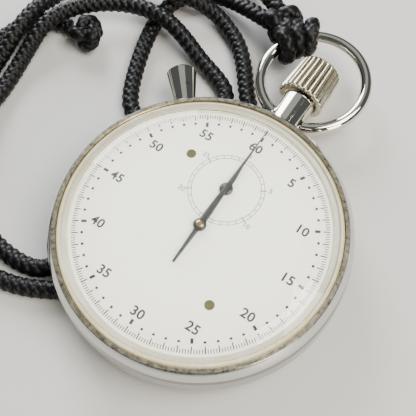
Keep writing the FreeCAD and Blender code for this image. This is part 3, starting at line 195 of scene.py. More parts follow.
def braided_cord(name, line, radius, closed=False, leaning=(0, 0, 1)):
    """A woven round cord along a line. Two families of strands wind opposite ways, at phases
    a = columns x angle + length / period and b = columns x angle - length / period; each diamond between
    crossings is one knuckle, raised by the square root of sin(pi a) sin(pi b)."""
    centres, along = even_steps(line, CORD_STEP)
    ahead = np.gradient(centres, axis=0)
    ahead /= np.linalg.norm(ahead, axis=1)[:, None]
    side = np.cross(ahead, leaning)
    side /= np.linalg.norm(side, axis=1)[:, None]
    over = np.cross(side, ahead)
    periods = max(1, round(along[-1] / BRAID_PERIOD)) / along[-1]
    angle = np.arange(CORD_SIDES) / CORD_SIDES
    wind, distance = angle[None, :], along[:, None] * periods
    a = BRAID_COLUMNS * wind + distance
    b = BRAID_COLUMNS * wind - distance
    knuckle = np.sqrt(np.abs(np.sin(math.pi * a) * np.sin(math.pi * b)))
    reach = radius - BRAID_RELIEF + (BRAID_RELIEF + 0.04) * knuckle
    if not closed:
        taper = np.clip(np.minimum(along, along[-1] - along) / CORD_END, 0.0, 1.0)[:, None]
        reach = reach * np.sqrt(1 - (1 - taper) ** 2 * 0.96)
    direction = (np.cos(TAU * angle)[None, :, None] * side[:, None, :]
                 + np.sin(TAU * angle)[None, :, None] * over[:, None, :])
    shell = centres[:, None, :] + reach[:, :, None] * direction
    rows = len(centres)
    faces = grid_faces(rows, CORD_SIDES, close_columns=True)[:, ::-1]
    points = shell.reshape(-1, 3)
    caps = []
    if not closed:
        points = np.vstack([points, centres[:1], centres[-1:]])
        ring = np.arange(CORD_SIDES)
        after = (ring + 1) % CORD_SIDES
        first, last = rows * CORD_SIDES, rows * CORD_SIDES + 1
        caps = [np.stack([np.full(CORD_SIDES, first), ring, after], -1)[:, ::-1],
                np.stack([np.full(CORD_SIDES, last), (rows - 1) * CORD_SIDES + after,
                          (rows - 1) * CORD_SIDES + ring], -1)[:, ::-1]]
    cord = mesh_piece(name, points, list(faces) + [face for cap in caps for face in cap])
    # the knuckle height is also stored for the cord material, which uses it to paint shade into the crossings
    # and light onto the knuckles
    set_float(cord, "knuckle", np.r_[knuckle.ravel(), np.zeros(len(points) - knuckle.size)])
    return cord, centres, along


def follow_bow(along, length):
    """Weights for the first stretch of a strand to follow the bow: full at the knot, none after the given
    length. They are computed and not used.
    """
    share = np.clip(1 - along / length, 0.0, 1.0)
    weights = np.repeat(share * share * (3 - 2 * share), CORD_SIDES)
    weights = np.r_[weights, weights[0], weights[-1]]


def lay_strand(name, points, node):
    """One strand of the lanyard: a braided cord along a spline through the given points, put in place of the
    CAD node, which is hidden.
    """
    line = spline_line(name + "_line", points)
    cord, centres, along = braided_cord(name, line, CORD_R)
    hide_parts(node)
    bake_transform(cord)
    follow_bow(along, FOLLOW_LENGTH)
    return cord


# the bow's own plane: its ring centre and how far it leans up
BOW_TILT = math.radians(4.0)
BOW_R = 10.07
BOW_PIVOT_Y = 29.0
BOW_PIVOT_HALF = 3.0
BOW_PIVOT_DROP = 0.5
bow_rise = math.sqrt(BOW_R ** 2 - BOW_PIVOT_HALF ** 2)
BOW_CENTRE = np.array([0.0, BOW_PIVOT_Y + math.cos(BOW_TILT) * bow_rise,
                       AXIS_HEIGHT - BOW_PIVOT_DROP + math.sin(BOW_TILT) * bow_rise])


def on_bow(points):
    """Points given in the bow's plane from its ring centre, in the part's frame."""
    x, y, z = np.moveaxis(np.asarray(points, float), -1, 0)
    return BOW_CENTRE + np.stack([x, y * math.cos(BOW_TILT) - z * math.sin(BOW_TILT),
                                  y * math.sin(BOW_TILT) + z * math.cos(BOW_TILT)], -1)


def wrap_line(start, sweep, turns, reach):
    """A helix round the bow's wire: the wire's angle grows evenly while the cord winds about it."""
    t = np.linspace(0.0, 1.0, 240)
    around = TAU * turns * t + 0.6
    angle = np.radians(start + sweep * t)
    out = BOW_R + reach * np.cos(around)
    return on_bow(np.stack([out * np.cos(angle), out * np.sin(angle), reach * np.sin(around)], -1))


def knot_line(centre, size, flat, spin):
    """A closed overhand knot: x = sin t + 2 sin 2t, y = cos t - 2 cos 2t, height = -sin 3t."""
    t = np.linspace(0.0, TAU, 260)
    x = (np.sin(t) + 2 * np.sin(2 * t)) * size / 3
    y = (np.cos(t) - 2 * np.cos(2 * t)) * size / 3
    z = -np.sin(3 * t) * flat
    c, s = math.cos(spin), math.sin(spin)
    return np.stack([centre[0] + c * x - s * y, centre[1] + s * x + c * y, centre[2] + z], -1)


def joined_pieces(name, parts):
    """Several meshes as one piece."""
    bpy.ops.object.select_all(action="DESELECT")
    for part in parts:
        part.select_set(True)
    bpy.context.view_layer.objects.active = parts[0]
    bpy.ops.object.join()
    parts[0].name = name
    parts[0].data.name = name
    return parts[0]


KNOT_CORD_R = 1.62
wraps, _, _ = braided_cord("bow_wraps", wrap_line(121, 40, 2.6, 2.35), KNOT_CORD_R, leaning=(0.3, 0.2, 1))
body_centre = on_bow([-11.7, 8.1, 0.2])
lump, _, _ = braided_cord("bow_lump", knot_line(body_centre, 2.75, 1.25, 0.4), KNOT_CORD_R, closed=True)
bow_knot = joined_pieces("bow_knot_braid", [wraps, lump])
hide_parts("bow_knot")
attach(bow_knot, "bow")
end_low, end_high = node_box("end_knot")
end_centre = (end_low + end_high) / 2
end_knot, _, _ = braided_cord("end_knot_braid", knot_line(end_centre, 2.55, 1.15, 1.1), KNOT_CORD_R - 0.1,
                              closed=True)
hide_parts("end_knot")
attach(end_knot, "case")
long_strand = lay_strand("lanyard_long_braid", LONG_STRAND, "lanyard_long")
short_strand = lay_strand("lanyard_short_braid", SHORT_STRAND, "lanyard_short")


# ---------------------------------------------------------------- printing on the dial
PRINT_HEIGHT = 0.012


def printed_bars(name, centre, angles, inner, outer, width):
    """Radial marks: one thin slab for each angle, clockwise from the top, between two radii."""
    angles = np.asarray(angles, float)
    inner = np.broadcast_to(inner, angles.shape)
    outer = np.broadcast_to(outer, angles.shape)
    out = np.stack([np.sin(angles), np.cos(angles)], -1)
    across = np.stack([out[:, 1], -out[:, 0]], -1)
    corners = []
    for radius, side in ((inner, -1), (outer, -1), (outer, 1), (inner, 1)):
        corners.append(out * radius[:, None] + across * side * width / 2)
    flat = np.stack(corners, 1) + np.asarray(centre)
    low = np.concatenate([flat, np.full(flat.shape[:2] + (1,), DIAL_TOP)], -1)
    high = low + np.array([0, 0, PRINT_HEIGHT])
    points = np.concatenate([low, high], 1).reshape(-1, 3)
    pattern = np.array([[0, 1, 2, 3], [7, 6, 5, 4], [0, 4, 5, 1], [1, 5, 6, 2], [2, 6, 7, 3], [3, 7, 4, 0]])
    faces = (np.arange(len(angles))[:, None, None] * 8 + pattern).reshape(-1, 4)
    return mesh_piece(name, points, faces, smooth=False)


def printed_dots(name, angles, radius, size):
    """Round spots on a circle: each a flat disc of 20 sides."""
    sides = 20
    angles = np.asarray(angles, float)
    turn = TAU * np.arange(sides) / sides
    spots = radius * np.stack([np.sin(angles), np.cos(angles)], -1)
    rim = spots[:, None, :] + size / 2 * np.stack([np.cos(turn), np.sin(turn)], -1)[None]
    top = np.concatenate([rim, np.full(rim.shape[:2] + (1,), DIAL_TOP + PRINT_HEIGHT)], -1)
    bottom = top - np.array([0, 0, PRINT_HEIGHT])
    points = np.concatenate([top, bottom], 1).reshape(-1, 3)
    faces = []
    for start in range(0, len(angles) * 2 * sides, 2 * sides):
        faces.append(list(range(start, start + sides)))
        faces += [[start + i, start + sides + i, start + sides + (i + 1) % sides, start + (i + 1) % sides]
                  for i in range(sides)]
    return mesh_piece(name, points, faces, smooth=False)


def printed_ring(name, centre, radius, width):
    """A thin flat ring: two circles a line's width apart, raised a print's height."""
    sides = 180
    turn = TAU * np.arange(sides) / sides
    rows = []
    for distance, height in ((radius - width / 2, 0.0), (radius - width / 2, PRINT_HEIGHT),
                             (radius + width / 2, PRINT_HEIGHT), (radius + width / 2, 0.0)):
        rows.append(np.stack([centre[0] + distance * np.cos(turn), centre[1] + distance * np.sin(turn),
                              np.full(sides, DIAL_TOP + height)], -1))
    faces = grid_faces(4, sides, close_columns=True)[:, ::-1]
    return mesh_piece(name, np.concatenate(rows), faces, smooth=False)


def printed_number(text, centre, height, squeeze=1.0, weight=0.026):
    """A number from the built-in face, upright, centred, its strokes widened by a weight on each side."""
    curve = bpy.data.curves.new("figure", "FONT")
    curve.body = text
    curve.offset = weight
    curve.space_character = 1.04
    holder = bpy.data.objects.new("figure", curve)
    bpy.context.collection.objects.link(holder)
    mesh = bpy.data.meshes.new_from_object(holder)
    bpy.data.objects.remove(holder)
    spots = np.empty(len(mesh.vertices) * 3)
    mesh.vertices.foreach_get("co", spots)
    spots = spots.reshape(-1, 3)
    low, high = spots.min(0), spots.max(0)
    scale = height / (high[1] - low[1])
    flat = (spots[:, :2] - (low[:2] + high[:2]) / 2) * scale * np.array([squeeze, 1.0]) + np.asarray(centre)
    points = np.concatenate([flat, np.full((len(flat), 1), DIAL_TOP + PRINT_HEIGHT)], -1)
    faces = [list(polygon.vertices) for polygon in mesh.polygons]
    return mesh_piece("figure_" + text, points, faces, smooth=False)


def on_body(thing, body):
    """Names what a new piece moves with."""
    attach(thing, body)
    return thing


MARK_R = 19.85
fifths = TAU * np.arange(300) / 300
seconds = TAU * np.arange(60) / 60
scale_parts = [
    printed_bars("fifths", (0, 0), fifths, 1.059 * MARK_R, 1.095 * MARK_R, 0.15),
    printed_bars("seconds", (0, 0), seconds, 1.0365 * MARK_R, 1.095 * MARK_R, 0.2),
    printed_bars("fives", (0, 0), seconds[::5], 0.9645 * MARK_R, 1.012 * MARK_R, 0.5),
    printed_dots("dots", [angle for index, angle in enumerate(seconds) if index % 5], 1.0 * MARK_R, 0.5),
]
FIGURE_REACH = {5: 0.8825, 10: 0.868, 15: 0.868, 20: 0.868, 25: 0.88, 30: 0.899, 35: 0.88, 40: 0.868,
                45: 0.868, 50: 0.868, 55: 0.8825, 60: 0.89}
for value, reach in FIGURE_REACH.items():
    spot = (reach * MARK_R * math.sin(TAU * value / 60), reach * MARK_R * math.cos(TAU * value / 60))
    scale_parts.append(printed_number(str(value), spot, 1.7, 1.05))
dial_scale = on_body(joined_pieces("dial_scale", scale_parts), "case")

thirtieths = TAU * np.arange(30) / 30
small_parts = [
    printed_ring("inner_ring", (0, RECORDER), 6.0, 0.11),
    printed_ring("outer_ring", (0, RECORDER), 6.6, 0.1),
    printed_bars("minutes", (0, RECORDER), thirtieths, 6.0, 6.6, 0.12),
    printed_bars("five_minutes", (0, RECORDER), thirtieths[::5], 5.8, 6.9, 0.16),
]
for value in (5, 10, 15, 20, 25, 0):
    reach = 4.95 if value == 15 else 7.6
    spot = (reach * math.sin(TAU * value / 30), RECORDER + reach * math.cos(TAU * value / 30))
    small_parts.append(printed_number(str(value), spot, 0.9, 1.05, 0.008))
minute_scale = on_body(joined_pieces("minute_scale", small_parts), "case")


# ---------------------------------------------------------------- turned and swept pieces
def lathe(name, profile, sides=256, axis="z", origin=(0, 0, 0), sweep=None):
    """A surface of revolution: (radius, height) pairs turned about an axis, closed where the radius is 0."""
    profile = np.asarray(profile, float)
    turn = TAU * np.arange(sides) / sides
    radius = np.repeat(profile[:, :1], sides, 1)
    height = np.repeat(profile[:, 1:2], sides, 1)
    if sweep is not None:
        radius = sweep(radius, height, turn[None, :])
    x, y, z = radius * np.cos(turn), radius * np.sin(turn), height
    if axis == "y":
        x, y, z = x, z, -y
    points = np.stack([x, y, z], -1) + np.asarray(origin)
    faces = grid_faces(len(profile), sides, close_columns=True)
    return mesh_piece(name, points.reshape(-1, 3), faces), radius


CROWN_BASE = crown_low[1]
CROWN_END = crown_high[1]
FLUTES = 24
GROOVE_DEPTH = 0.42
RIB_RADIUS = 4.6
RIB_TAPER = 0.45
FLUTED_FROM = 3.9


def fluted(radius, height, turn):
    """Scallops: the radius drops by a rounded groove between ribs, fading out at both ends."""
    fade = np.clip((height - CROWN_BASE) / 0.5, 0, 1) * np.clip((CROWN_END - 0.25 - height) / 0.5, 0, 1)
    outer = radius > FLUTED_FROM
    groove = np.abs(np.cos(turn * FLUTES / 2)) ** 3.0
    return radius - np.where(outer, GROOVE_DEPTH * groove * fade, 0.0)


crown_profile = [(0.3, CROWN_BASE + 3.4), (3.38, CROWN_BASE + 3.4), (3.4, CROWN_BASE + 0.12),
                 (3.5, CROWN_BASE + 0.02), (4.05, CROWN_BASE), (4.4, CROWN_BASE + 0.1)]
RIBBED_LENGTH = CROWN_END - CROWN_BASE - 0.95
for t in np.linspace(0, 1, 30):
    crown_profile.append((RIB_RADIUS - RIB_TAPER * t, CROWN_BASE + 0.25 + RIBBED_LENGTH * t))
crown_profile += [(4.02, CROWN_END - 0.56), (3.75, CROWN_END - 0.36), (3.3, CROWN_END - 0.2),
                  (2.4, CROWN_END - 0.07), (1.2, CROWN_END - 0.01), (0.001, CROWN_END)]
crown, crown_reach = lathe("crown_fluted", crown_profile, sides=24 * 16, axis="y",
                           origin=(0, 0, AXIS_HEIGHT), sweep=fluted)
plain = np.repeat(np.asarray(crown_profile)[:, :1], crown_reach.shape[1], 1)
set_float(crown, "groove", np.clip((plain - crown_reach) / GROOVE_DEPTH, 0, 1))
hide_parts("crown")
on_body(crown, "crown_rotor")


def blade(name, centre, low, stations, thickness, crown_rise):
    """A flat tapering hand: half widths at distances along it, crowned across by a parabola."""
    stations = np.asarray(stations, float)
    along = np.linspace(stations[0, 0], stations[-1, 0], 120)
    half = np.interp(along, stations[:, 0], stations[:, 1])
    across = np.linspace(-1, 1, 9)
    top = np.stack([centre[0] + half[:, None] * across[None], centre[1] + np.repeat(along[:, None], 9, 1),
                    low + thickness + crown_rise * (1 - across[None] ** 2) * np.ones_like(half)[:, None]], -1)
    bottom = top[:, ::-1].copy()
    bottom[..., 2] = low
    ring = np.concatenate([top, bottom], 1)
    faces = [list(face) for face in grid_faces(len(along), 18, close_columns=True)[:, ::-1]]
    faces.append(list(range(18)))
    faces.append(list(range((len(along) - 1) * 18, len(along) * 18))[::-1])
    return mesh_piece(name, ring.reshape(-1, 3), faces)


sec_low, sec_high = node_box("seconds_hand")
small_tip = node_box("minute_hand")[1][1]
SECONDS_Z = DIAL_TOP + 0.62
MINUTE_Z = DIAL_TOP + 0.2
seconds_blade = blade("seconds_blade", (0, 0), SECONDS_Z, [
    (sec_low[1], 0.2), (sec_low[1] + 0.2, 0.23), (-4.2, 0.33), (-1.6, 0.42), (0, 0.6), (2.4, 0.62),
    (5.0, 0.52), (9.5, 0.36), (14.0, 0.22), (18.0, 0.12), (sec_high[1], 0.04)], 0.06, 0.08)
seconds_hub, _ = lathe("seconds_hub", [
    (0.3, SECONDS_Z + 0.3), (0.3, SECONDS_Z - 0.34), (1.0, SECONDS_Z - 0.34), (1.12, SECONDS_Z - 0.25),
    (1.15, SECONDS_Z + 0.16), (1.08, SECONDS_Z + 0.28), (0.95, SECONDS_Z + 0.33),
    (0.3, SECONDS_Z + 0.33)], 96)
seconds_hand = joined_pieces("seconds_hand_blued", [seconds_blade, seconds_hub])
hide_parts("seconds_hand")
on_body(seconds_hand, "seconds")
minute_blade = blade("minute_blade", (0, RECORDER), MINUTE_Z, [
    (-1.0, 0.3), (0.6, 0.5), (2.6, 0.42), (4.4, 0.22), (small_tip - RECORDER, 0.05)], 0.06, 0.06)
minute_hub, _ = lathe("minute_hub", [
    (0.3, MINUTE_Z + 0.28), (0.3, MINUTE_Z - 0.06), (1.1, MINUTE_Z - 0.06), (1.19, MINUTE_Z + 0.02),
    (1.19, MINUTE_Z + 0.18), (1.1, MINUTE_Z + 0.28), (0.62, MINUTE_Z + 0.31), (0.3, MINUTE_Z + 0.31)], 96,
    origin=(0, RECORDER, 0))
minute_hand = joined_pieces("minute_hand_blued", [minute_blade, minute_hub])
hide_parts("minute_hand")
on_body(minute_hand, "minutes")


# ---------------------------------------------------------------- materials
def hexed(code, alpha=1.0):
    """An sRGB hex colour as linear numbers."""
    values = []
    for start in (0, 2, 4):
        value = int(code[start:start + 2], 16) / 255
        values.append(value / 12.92 if value <= 0.04045 else ((value + 0.055) / 1.055) ** 2.4)
    return (*values, alpha)


def feed(tree, node, inputs):
    """Gives a node's inputs a number, a colour as sRGB hex, or another node's output."""
    for name, value in inputs.items():
        if isinstance(value, bpy.types.NodeSocket):
            tree.links.new(value, node.inputs[name])
        else:
            node.inputs[name].default_value = hexed(value) if isinstance(value, str) else value


def add(tree, kind, inputs, output=0, **settings):
    """Adds a node with its settings and links, and gives back one of its outputs. Inputs go by name, by
    number, or as a list in the order of the sockets."""
    made = tree.nodes.new("ShaderNode" + kind)
    for name, value in settings.items():
        setattr(made, name, value)
    feed(tree, made, inputs if isinstance(inputs, dict) else dict(enumerate(inputs)))
    return made.outputs[output]


def material(name):
    """A material with one Principled shader, and its node tree, shader and Object coordinates."""
    made = bpy.data.materials.new(name)
    made.use_nodes = True
    tree = made.node_tree
    return made, tree, tree.nodes["Principled BSDF"], add(tree, "TexCoord", {}, "Object")


# a pattern's scale for one feature a millimetre, and the settings that make a Mix node mix colours
PER_MM = 1000.0
COLOUR = {"output": 2, "data_type": "RGBA"}


def two_tone(name, tones, span, roughness, grain, stretch=(1, 1, 1), relief=0.0, fixed=None):
    """A finish of two tones mixed over one noise between two of its values. The roughness is one number, or
    two that follow the same noise. grain is features per mm, detail and roughness; relief is in mm."""
    made, tree, shader, place = material(name)
    size = [PER_MM * grain[0] * share for share in stretch]
    spread = add(tree, "Mapping", {"Vector": place, "Scale": size})
    cloud = add(tree, "TexNoise", {"Vector": spread, "Scale": 1.0, "Detail": grain[1], "Roughness": grain[2]})
    share = add(tree, "MapRange", [cloud, *span, 0.0, 1.0])
    feed(tree, shader, {"Base Color": add(tree, "Mix", {0: share, 6: tones[0], 7: tones[1]}, **COLOUR)})
    feed(tree, shader, fixed or {})
    if isinstance(roughness, float):
        feed(tree, shader, {"Roughness": roughness})
    else:
        feed(tree, shader, {"Roughness": add(tree, "MapRange", [cloud, 0.3, 0.7, *roughness])})
    if relief:
        bumps = add(tree, "Bump", {"Height": cloud, "Distance": relief * MM, "Strength": 0.4})
        feed(tree, shader, {"Normal": bumps})
    return made


def grained_metal(name, tone, dark, per_mm, rough, stretch=(1, 1, 1)):
    """A machined movement metal: even tone, tool grain of a given spacing and direction."""
    return two_tone(name, (tone, dark), (0.3, 0.75), (rough * 0.8, rough * 1.3), (per_mm, 4.0, 0.6), stretch,
                    0.006, {"Metallic": 1.0})


def chromed_brass(name, tone, wear_tone, rough_low, rough_high):
    """Chromium plate on brass: mirror bright, crossed by fine handling scratches, with the brass showing
    as warm specks where the plate has pitted."""
    made, tree, shader, place = material(name)
    cloud = add(tree, "TexNoise", {"Vector": place, "Scale": 0.25 * PER_MM, "Detail": 5.0, "Roughness": 0.6})
    along = add(tree, "Mapping", {"Vector": place, "Scale": (2.2 * PER_MM, 19.8 * PER_MM, 6.6 * PER_MM)})
    scratch = add(tree, "TexNoise", {"Vector": along, "Scale": 1.0, "Detail": 3.0, "Roughness": 0.6})
    across = add(tree, "Mapping", {"Vector": place, "Scale": (16 * PER_MM, 2 * PER_MM, 4 * PER_MM)})
    crossed = add(tree, "TexNoise", {"Vector": across, "Scale": 1.0, "Detail": 3.0, "Roughness": 0.6})
    pits = add(tree, "TexNoise", {"Vector": place, "Scale": 0.8 * PER_MM, "Detail": 6.0, "Roughness": 0.7})
    worn = add(tree, "MapRange", [pits, 0.62, 0.7, 0.0, 1.0])
    fine = add(tree, "Math", [scratch, crossed], operation="MAXIMUM")
    dulled = add(tree, "Math", [fine, add(tree, "Math", [cloud, 0.5], operation="MULTIPLY")], operation="ADD")
    feed(tree, shader, {
        "Base Color": add(tree, "Mix", {0: worn, 6: tone, 7: wear_tone}, **COLOUR),
        "Roughness": add(tree, "MapRange", [dulled, 0.7, 1.05, rough_low, rough_high]),
        "Metallic": 1.0,
        "Normal": add(tree, "Bump", {"Height": fine, "Distance": 0.004 * MM, "Strength": 0.35})})
    return made


def bezel_metal():
    """Chromed brass bezel: the top land has rubbed down to a grey matt with the brass line showing at its
    inner edge; the outer slope stays bright, with brassy nicks along the rim."""
    made, tree, shader, place = material("rubbed_chrome_bezel")
    flat = add(tree, "VectorMath", [place, (1.0, 1.0, 0.0)], operation="MULTIPLY")
    radius = add(tree, "VectorMath", [flat], "Value", operation="LENGTH")
    height = add(tree, "SeparateXYZ", [place], "Z")
    grain = add(tree, "TexNoise", {"Vector": place, "Scale": 1.4 * PER_MM, "Detail": 6.0, "Roughness": 0.7})
    cloud = add(tree, "TexNoise", {"Vector": place, "Scale": 0.35 * PER_MM, "Detail": 4.0, "Roughness": 0.6})
    sway = add(tree, "Math", [cloud, 0.4 * MM], operation="MULTIPLY")
    wavering = add(tree, "Math", [radius, sway], operation="ADD")
    land = add(tree, "MapRange", [height, 12.50 * MM, 12.66 * MM, 0.0, 1.0])
    brass_line = add(tree, "MapRange", [wavering, 24.60 * MM, 24.42 * MM, 0.0, 1.0])
    rim = add(tree, "MapRange", [height, 12.1 * MM, 12.6 * MM, 0.0, 1.0])
    specks = add(tree, "MapRange", [grain, 0.56, 0.66, 0.0, 1.0])
    nicks = add(tree, "Math", [specks, rim], operation="MULTIPLY")
    bright = add(tree, "Mix", {0: nicks, 6: "cfcfca", 7: "a8935f"}, **COLOUR)
    matt = add(tree, "MapRange", [grain, 0.35, 0.65, 0.0, 1.0])
    rubbed = add(tree, "Mix", {0: matt, 6: "6a665b", 7: "a39e8c"}, **COLOUR)
    base = add(tree, "Mix", {0: land, 6: bright, 7: rubbed}, **COLOUR)
    line = add(tree, "Math", [brass_line, 0.7], operation="MULTIPLY")
    dull = add(tree, "MapRange", [grain, 0.3, 0.7, 0.22, 0.5])
    polish = add(tree, "MapRange", [cloud, 0.3, 0.7, 0.05, 0.17])
    feed(tree, shader, {
        "Base Color": add(tree, "Mix", {0: line, 6: base, 7: "b8a777"}, **COLOUR),
        "Roughness": add(tree, "MapRange", [land, 0.0, 1.0, polish, dull]),
        "Metallic": 1.0,
        "Normal": add(tree, "Bump", {"Height": grain, "Distance": 0.012 * MM, "Strength": 0.4})})
    return made


def crown_metal():
    """Nickel-plated crown: a soft satin, warm where thumbs have taken the plate off the ribs and darker down
    in the grooves."""
    made, tree, shader, place = material("nickel_plated_crown")
    groove = add(tree, "Attribute", {}, "Fac", attribute_name="groove")
    drawn = add(tree, "Mapping", {"Vector": place, "Scale": (1.6 * PER_MM, 0.4 * PER_MM, 1.6 * PER_MM)})
    grain = add(tree, "TexNoise", {"Vector": drawn, "Scale": 1.0, "Detail": 5.0, "Roughness": 0.65})
    cloud = add(tree, "TexNoise", {"Vector": place, "Scale": 0.3 * PER_MM, "Detail": 3.0, "Roughness": 0.5})
    warmth = add(tree, "MapRange", [cloud, 0.35, 0.7, 0.0, 1.0])
    ribs = add(tree, "Mix", {0: warmth, 6: "d8d2c2", 7: "c6b898"}, **COLOUR)
    speckle = add(tree, "Math", [grain, 0.25], operation="MULTIPLY")
    depth = add(tree, "Math", [groove, speckle], operation="ADD")
    # the colour darkens with groove depth and with specks of grain
    groove_darkening = add(tree, "MapRange", [depth, 0.55, 1.2, 0.0, 1.0])
    feed(tree, shader, {
        "Base Color": add(tree, "Mix", {0: groove_darkening, 6: ribs, 7: "8a774c"}, **COLOUR),
        "Roughness": add(tree, "MapRange", [grain, 0.3, 0.7, 0.2, 0.36]),
        "Metallic": 1.0,
        "Normal": add(tree, "Bump", {"Height": grain, "Distance": 0.01 * MM, "Strength": 0.4})})
    return made


def dial_paint():
    """Silvered-white lacquer on a brass dial: eggshell sheen, a faint warm ageing towards the edge and
    the odd grey speck of dust under the lacquer."""
    made, tree, shader, place = material("white_lacquered_dial")
    flat = add(tree, "VectorMath", [place, (1.0, 1.0, 0.0)], operation="MULTIPLY")
    radius = add(tree, "VectorMath", [flat], "Value", operation="LENGTH")
    cloud = add(tree, "TexNoise", {"Vector": place, "Scale": 0.12 * PER_MM, "Detail": 4.0, "Roughness": 0.6})
    specks = add(tree, "TexNoise", {"Vector": place, "Scale": 2.6 * PER_MM, "Detail": 2.0, "Roughness": 0.5})
    peel = add(tree, "TexNoise", {"Vector": place, "Scale": 6.0 * PER_MM, "Detail": 3.0, "Roughness": 0.55})
    sway = add(tree, "Math", [cloud, 6 * MM], operation="MULTIPLY")
    aged = add(tree, "Math", [radius, sway], operation="ADD")
    warmth = add(tree, "MapRange", [aged, 17 * MM, 27 * MM, 0.0, 0.5])
    base = add(tree, "Mix", {0: warmth, 6: "e6e6e0", 7: "d9d6c4"}, **COLOUR)
    dusty = add(tree, "MapRange", [specks, 0.74, 0.8, 0.0, 0.5])
    feed(tree, shader, {
        "Base Color": add(tree, "Mix", {0: dusty, 6: base, 7: "8e8d86"}, **COLOUR),
        "Roughness": add(tree, "MapRange", [cloud, 0.3, 0.7, 0.34, 0.48]),
        "Coat Weight": 0.25, "Coat Roughness": 0.25,
        "Normal": add(tree, "Bump", {"Height": peel, "Distance": 0.002 * MM, "Strength": 0.25})})
    return made


def crystal_glass():
    """Pressed acrylic crystal: clear, with hairline scratches that catch the light on its dome."""
    made, tree, shader, place = material("acrylic_crystal")
    along = add(tree, "Mapping", {"Vector": place, "Scale": (0.9 * PER_MM, 12.6 * PER_MM, 0.9 * PER_MM)})
    hair = add(tree, "TexNoise", {"Vector": along, "Scale": 1.0, "Detail": 2.0, "Roughness": 0.5})
    across = add(tree, "Mapping", {"Vector": place, "Scale": (9.6 * PER_MM, 0.8 * PER_MM, 0.8 * PER_MM)})
    crossed = add(tree, "TexNoise", {"Vector": across, "Scale": 1.0, "Detail": 2.0, "Roughness": 0.5})
    lines = add(tree, "Math", [hair, crossed], operation="MAXIMUM")
    scratched = add(tree, "MapRange", [lines, 0.68, 0.8, 0.0, 1.0])
    tree.nodes.remove(shader)
    relief = add(tree, "Bump", {"Height": scratched, "Distance": 0.0015 * MM, "Strength": 0.15})
    clear = add(tree, "BsdfGlass", {"Color": (0.99, 0.993, 0.985, 1), "IOR": 1.49, "Roughness": 0.0,
                                    "Normal": relief})
    through = add(tree, "BsdfTransparent", {"Color": (0.98, 0.985, 0.975, 1)})
    shadow = add(tree, "LightPath", {}, "Is Shadow Ray")
    mixed = add(tree, "MixShader", [shadow, clear, through])
    feed(tree, tree.nodes["Material Output"], {"Surface": mixed})
    return made


def cord_nylon():
    """Black nylon braid with painted light and shade: each knuckle is painted with a soft silky highlight
    along its yarns, and the crossings between them are painted in shade, near black."""
    made, tree, shader, place = material("braided_black_nylon")
    knuckle = add(tree, "Attribute", {}, "Fac", attribute_name="knuckle")
    yarns = add(tree, "TexNoise", {"Vector": place, "Scale": 5.0 * PER_MM, "Detail": 2.0, "Roughness": 0.6})
    fuzz = add(tree, "TexNoise", {"Vector": place, "Scale": 0.5 * PER_MM, "Detail": 4.0, "Roughness": 0.6})
    painted_yarn_sheen = add(tree, "MapRange", [yarns, 0.2, 0.8, 0.55, 1.25])
    painted_crest_light = add(tree, "Math", [knuckle, painted_yarn_sheen], operation="MULTIPLY")
    worn = add(tree, "MapRange", [fuzz, 0.35, 0.7, 0.0, 1.0])
    tone = add(tree, "Mix", {0: worn, 6: "08090a", 7: "101113"}, **COLOUR)
    raised = add(tree, "MapRange", [painted_crest_light, 0.25, 0.95, 0.0, 1.0])
    feed(tree, shader, {
        # painted light and shade: near black in the crossings between knuckles, the cord's own black on top
        # of them
        "Base Color": add(tree, "Mix", {0: raised, 6: "020203", 7: tone}, **COLOUR),
        "Roughness": add(tree, "MapRange", [yarns, 0.3, 0.7, 0.34, 0.55]),
        "Sheen Weight": 0.02, "Sheen Roughness": 0.4, "Specular IOR Level": 0.3,
        "Normal": add(tree, "Bump", {"Height": yarns, "Distance": 0.05 * MM, "Strength": 0.7})})
    return made


def case_back_metal():
    """Pressed steel back: circular polishing lines about the middle, scuffed by the table."""
    made, tree, shader, place = material("polished_steel_back")
    flat = add(tree, "VectorMath", [place, (1.0, 1.0, 0.0)], operation="MULTIPLY")
    radius = add(tree, "VectorMath", [flat], "Value", operation="LENGTH")
    rings = add(tree, "TexWave", {"Vector": add(tree, "CombineXYZ", [radius]), "Scale": 900.0,
                                  "Distortion": 0.6, "Detail": 2.0}, "Fac", bands_direction="X")
    dragged = add(tree, "Mapping", {"Vector": place, "Scale": (0.7 * PER_MM, 4.2 * PER_MM, 0.7 * PER_MM)})
    scuffs = add(tree, "TexNoise", {"Vector": dragged, "Scale": 1.0, "Detail": 5.0, "Roughness": 0.65})
    worn = add(tree, "MapRange", [scuffs, 0.55, 0.75, 0.0, 1.0])
    both = add(tree, "Math", [add(tree, "Math", [rings, 0.3], operation="MULTIPLY"), scuffs], operation="ADD")
    feed(tree, shader, {
        "Base Color": add(tree, "Mix", {0: worn, 6: "c4c4c1", 7: "98968f"}, **COLOUR),
        "Roughness": add(tree, "MapRange", [both, 0.4, 1.0, 0.1, 0.34]),
        "Metallic": 1.0,
        "Normal": add(tree, "Bump", {"Height": rings, "Distance": 0.002 * MM, "Strength": 0.3})})
    return made


# the case band has the same chrome plate as the bow, painted darker: painted shade standing for the dark
# reflections along its side
shaded_chrome_case = chromed_brass("chromed_brass_case_painted_shade", "9c9c97", "85754f", 0.06, 0.2)
chrome_bright = chromed_brass("chromed_brass_bright", "dad7c9", "c0ab7a", 0.04, 0.12)
# pad-printed ink: charcoal, slightly broken where the pad left it thin, and a greyer one for the recorder
ink = two_tone("charcoal_printing", ("101113", "242627"), (0.5, 0.72), (0.4, 0.6), (3.0, 3.0, 0.6))
fine_ink = two_tone("grey_printing", ("4c4d4c", "6a6b69"), (0.5, 0.72), (0.4, 0.6), (3.0, 3.0, 0.6))
nickel = crown_metal()
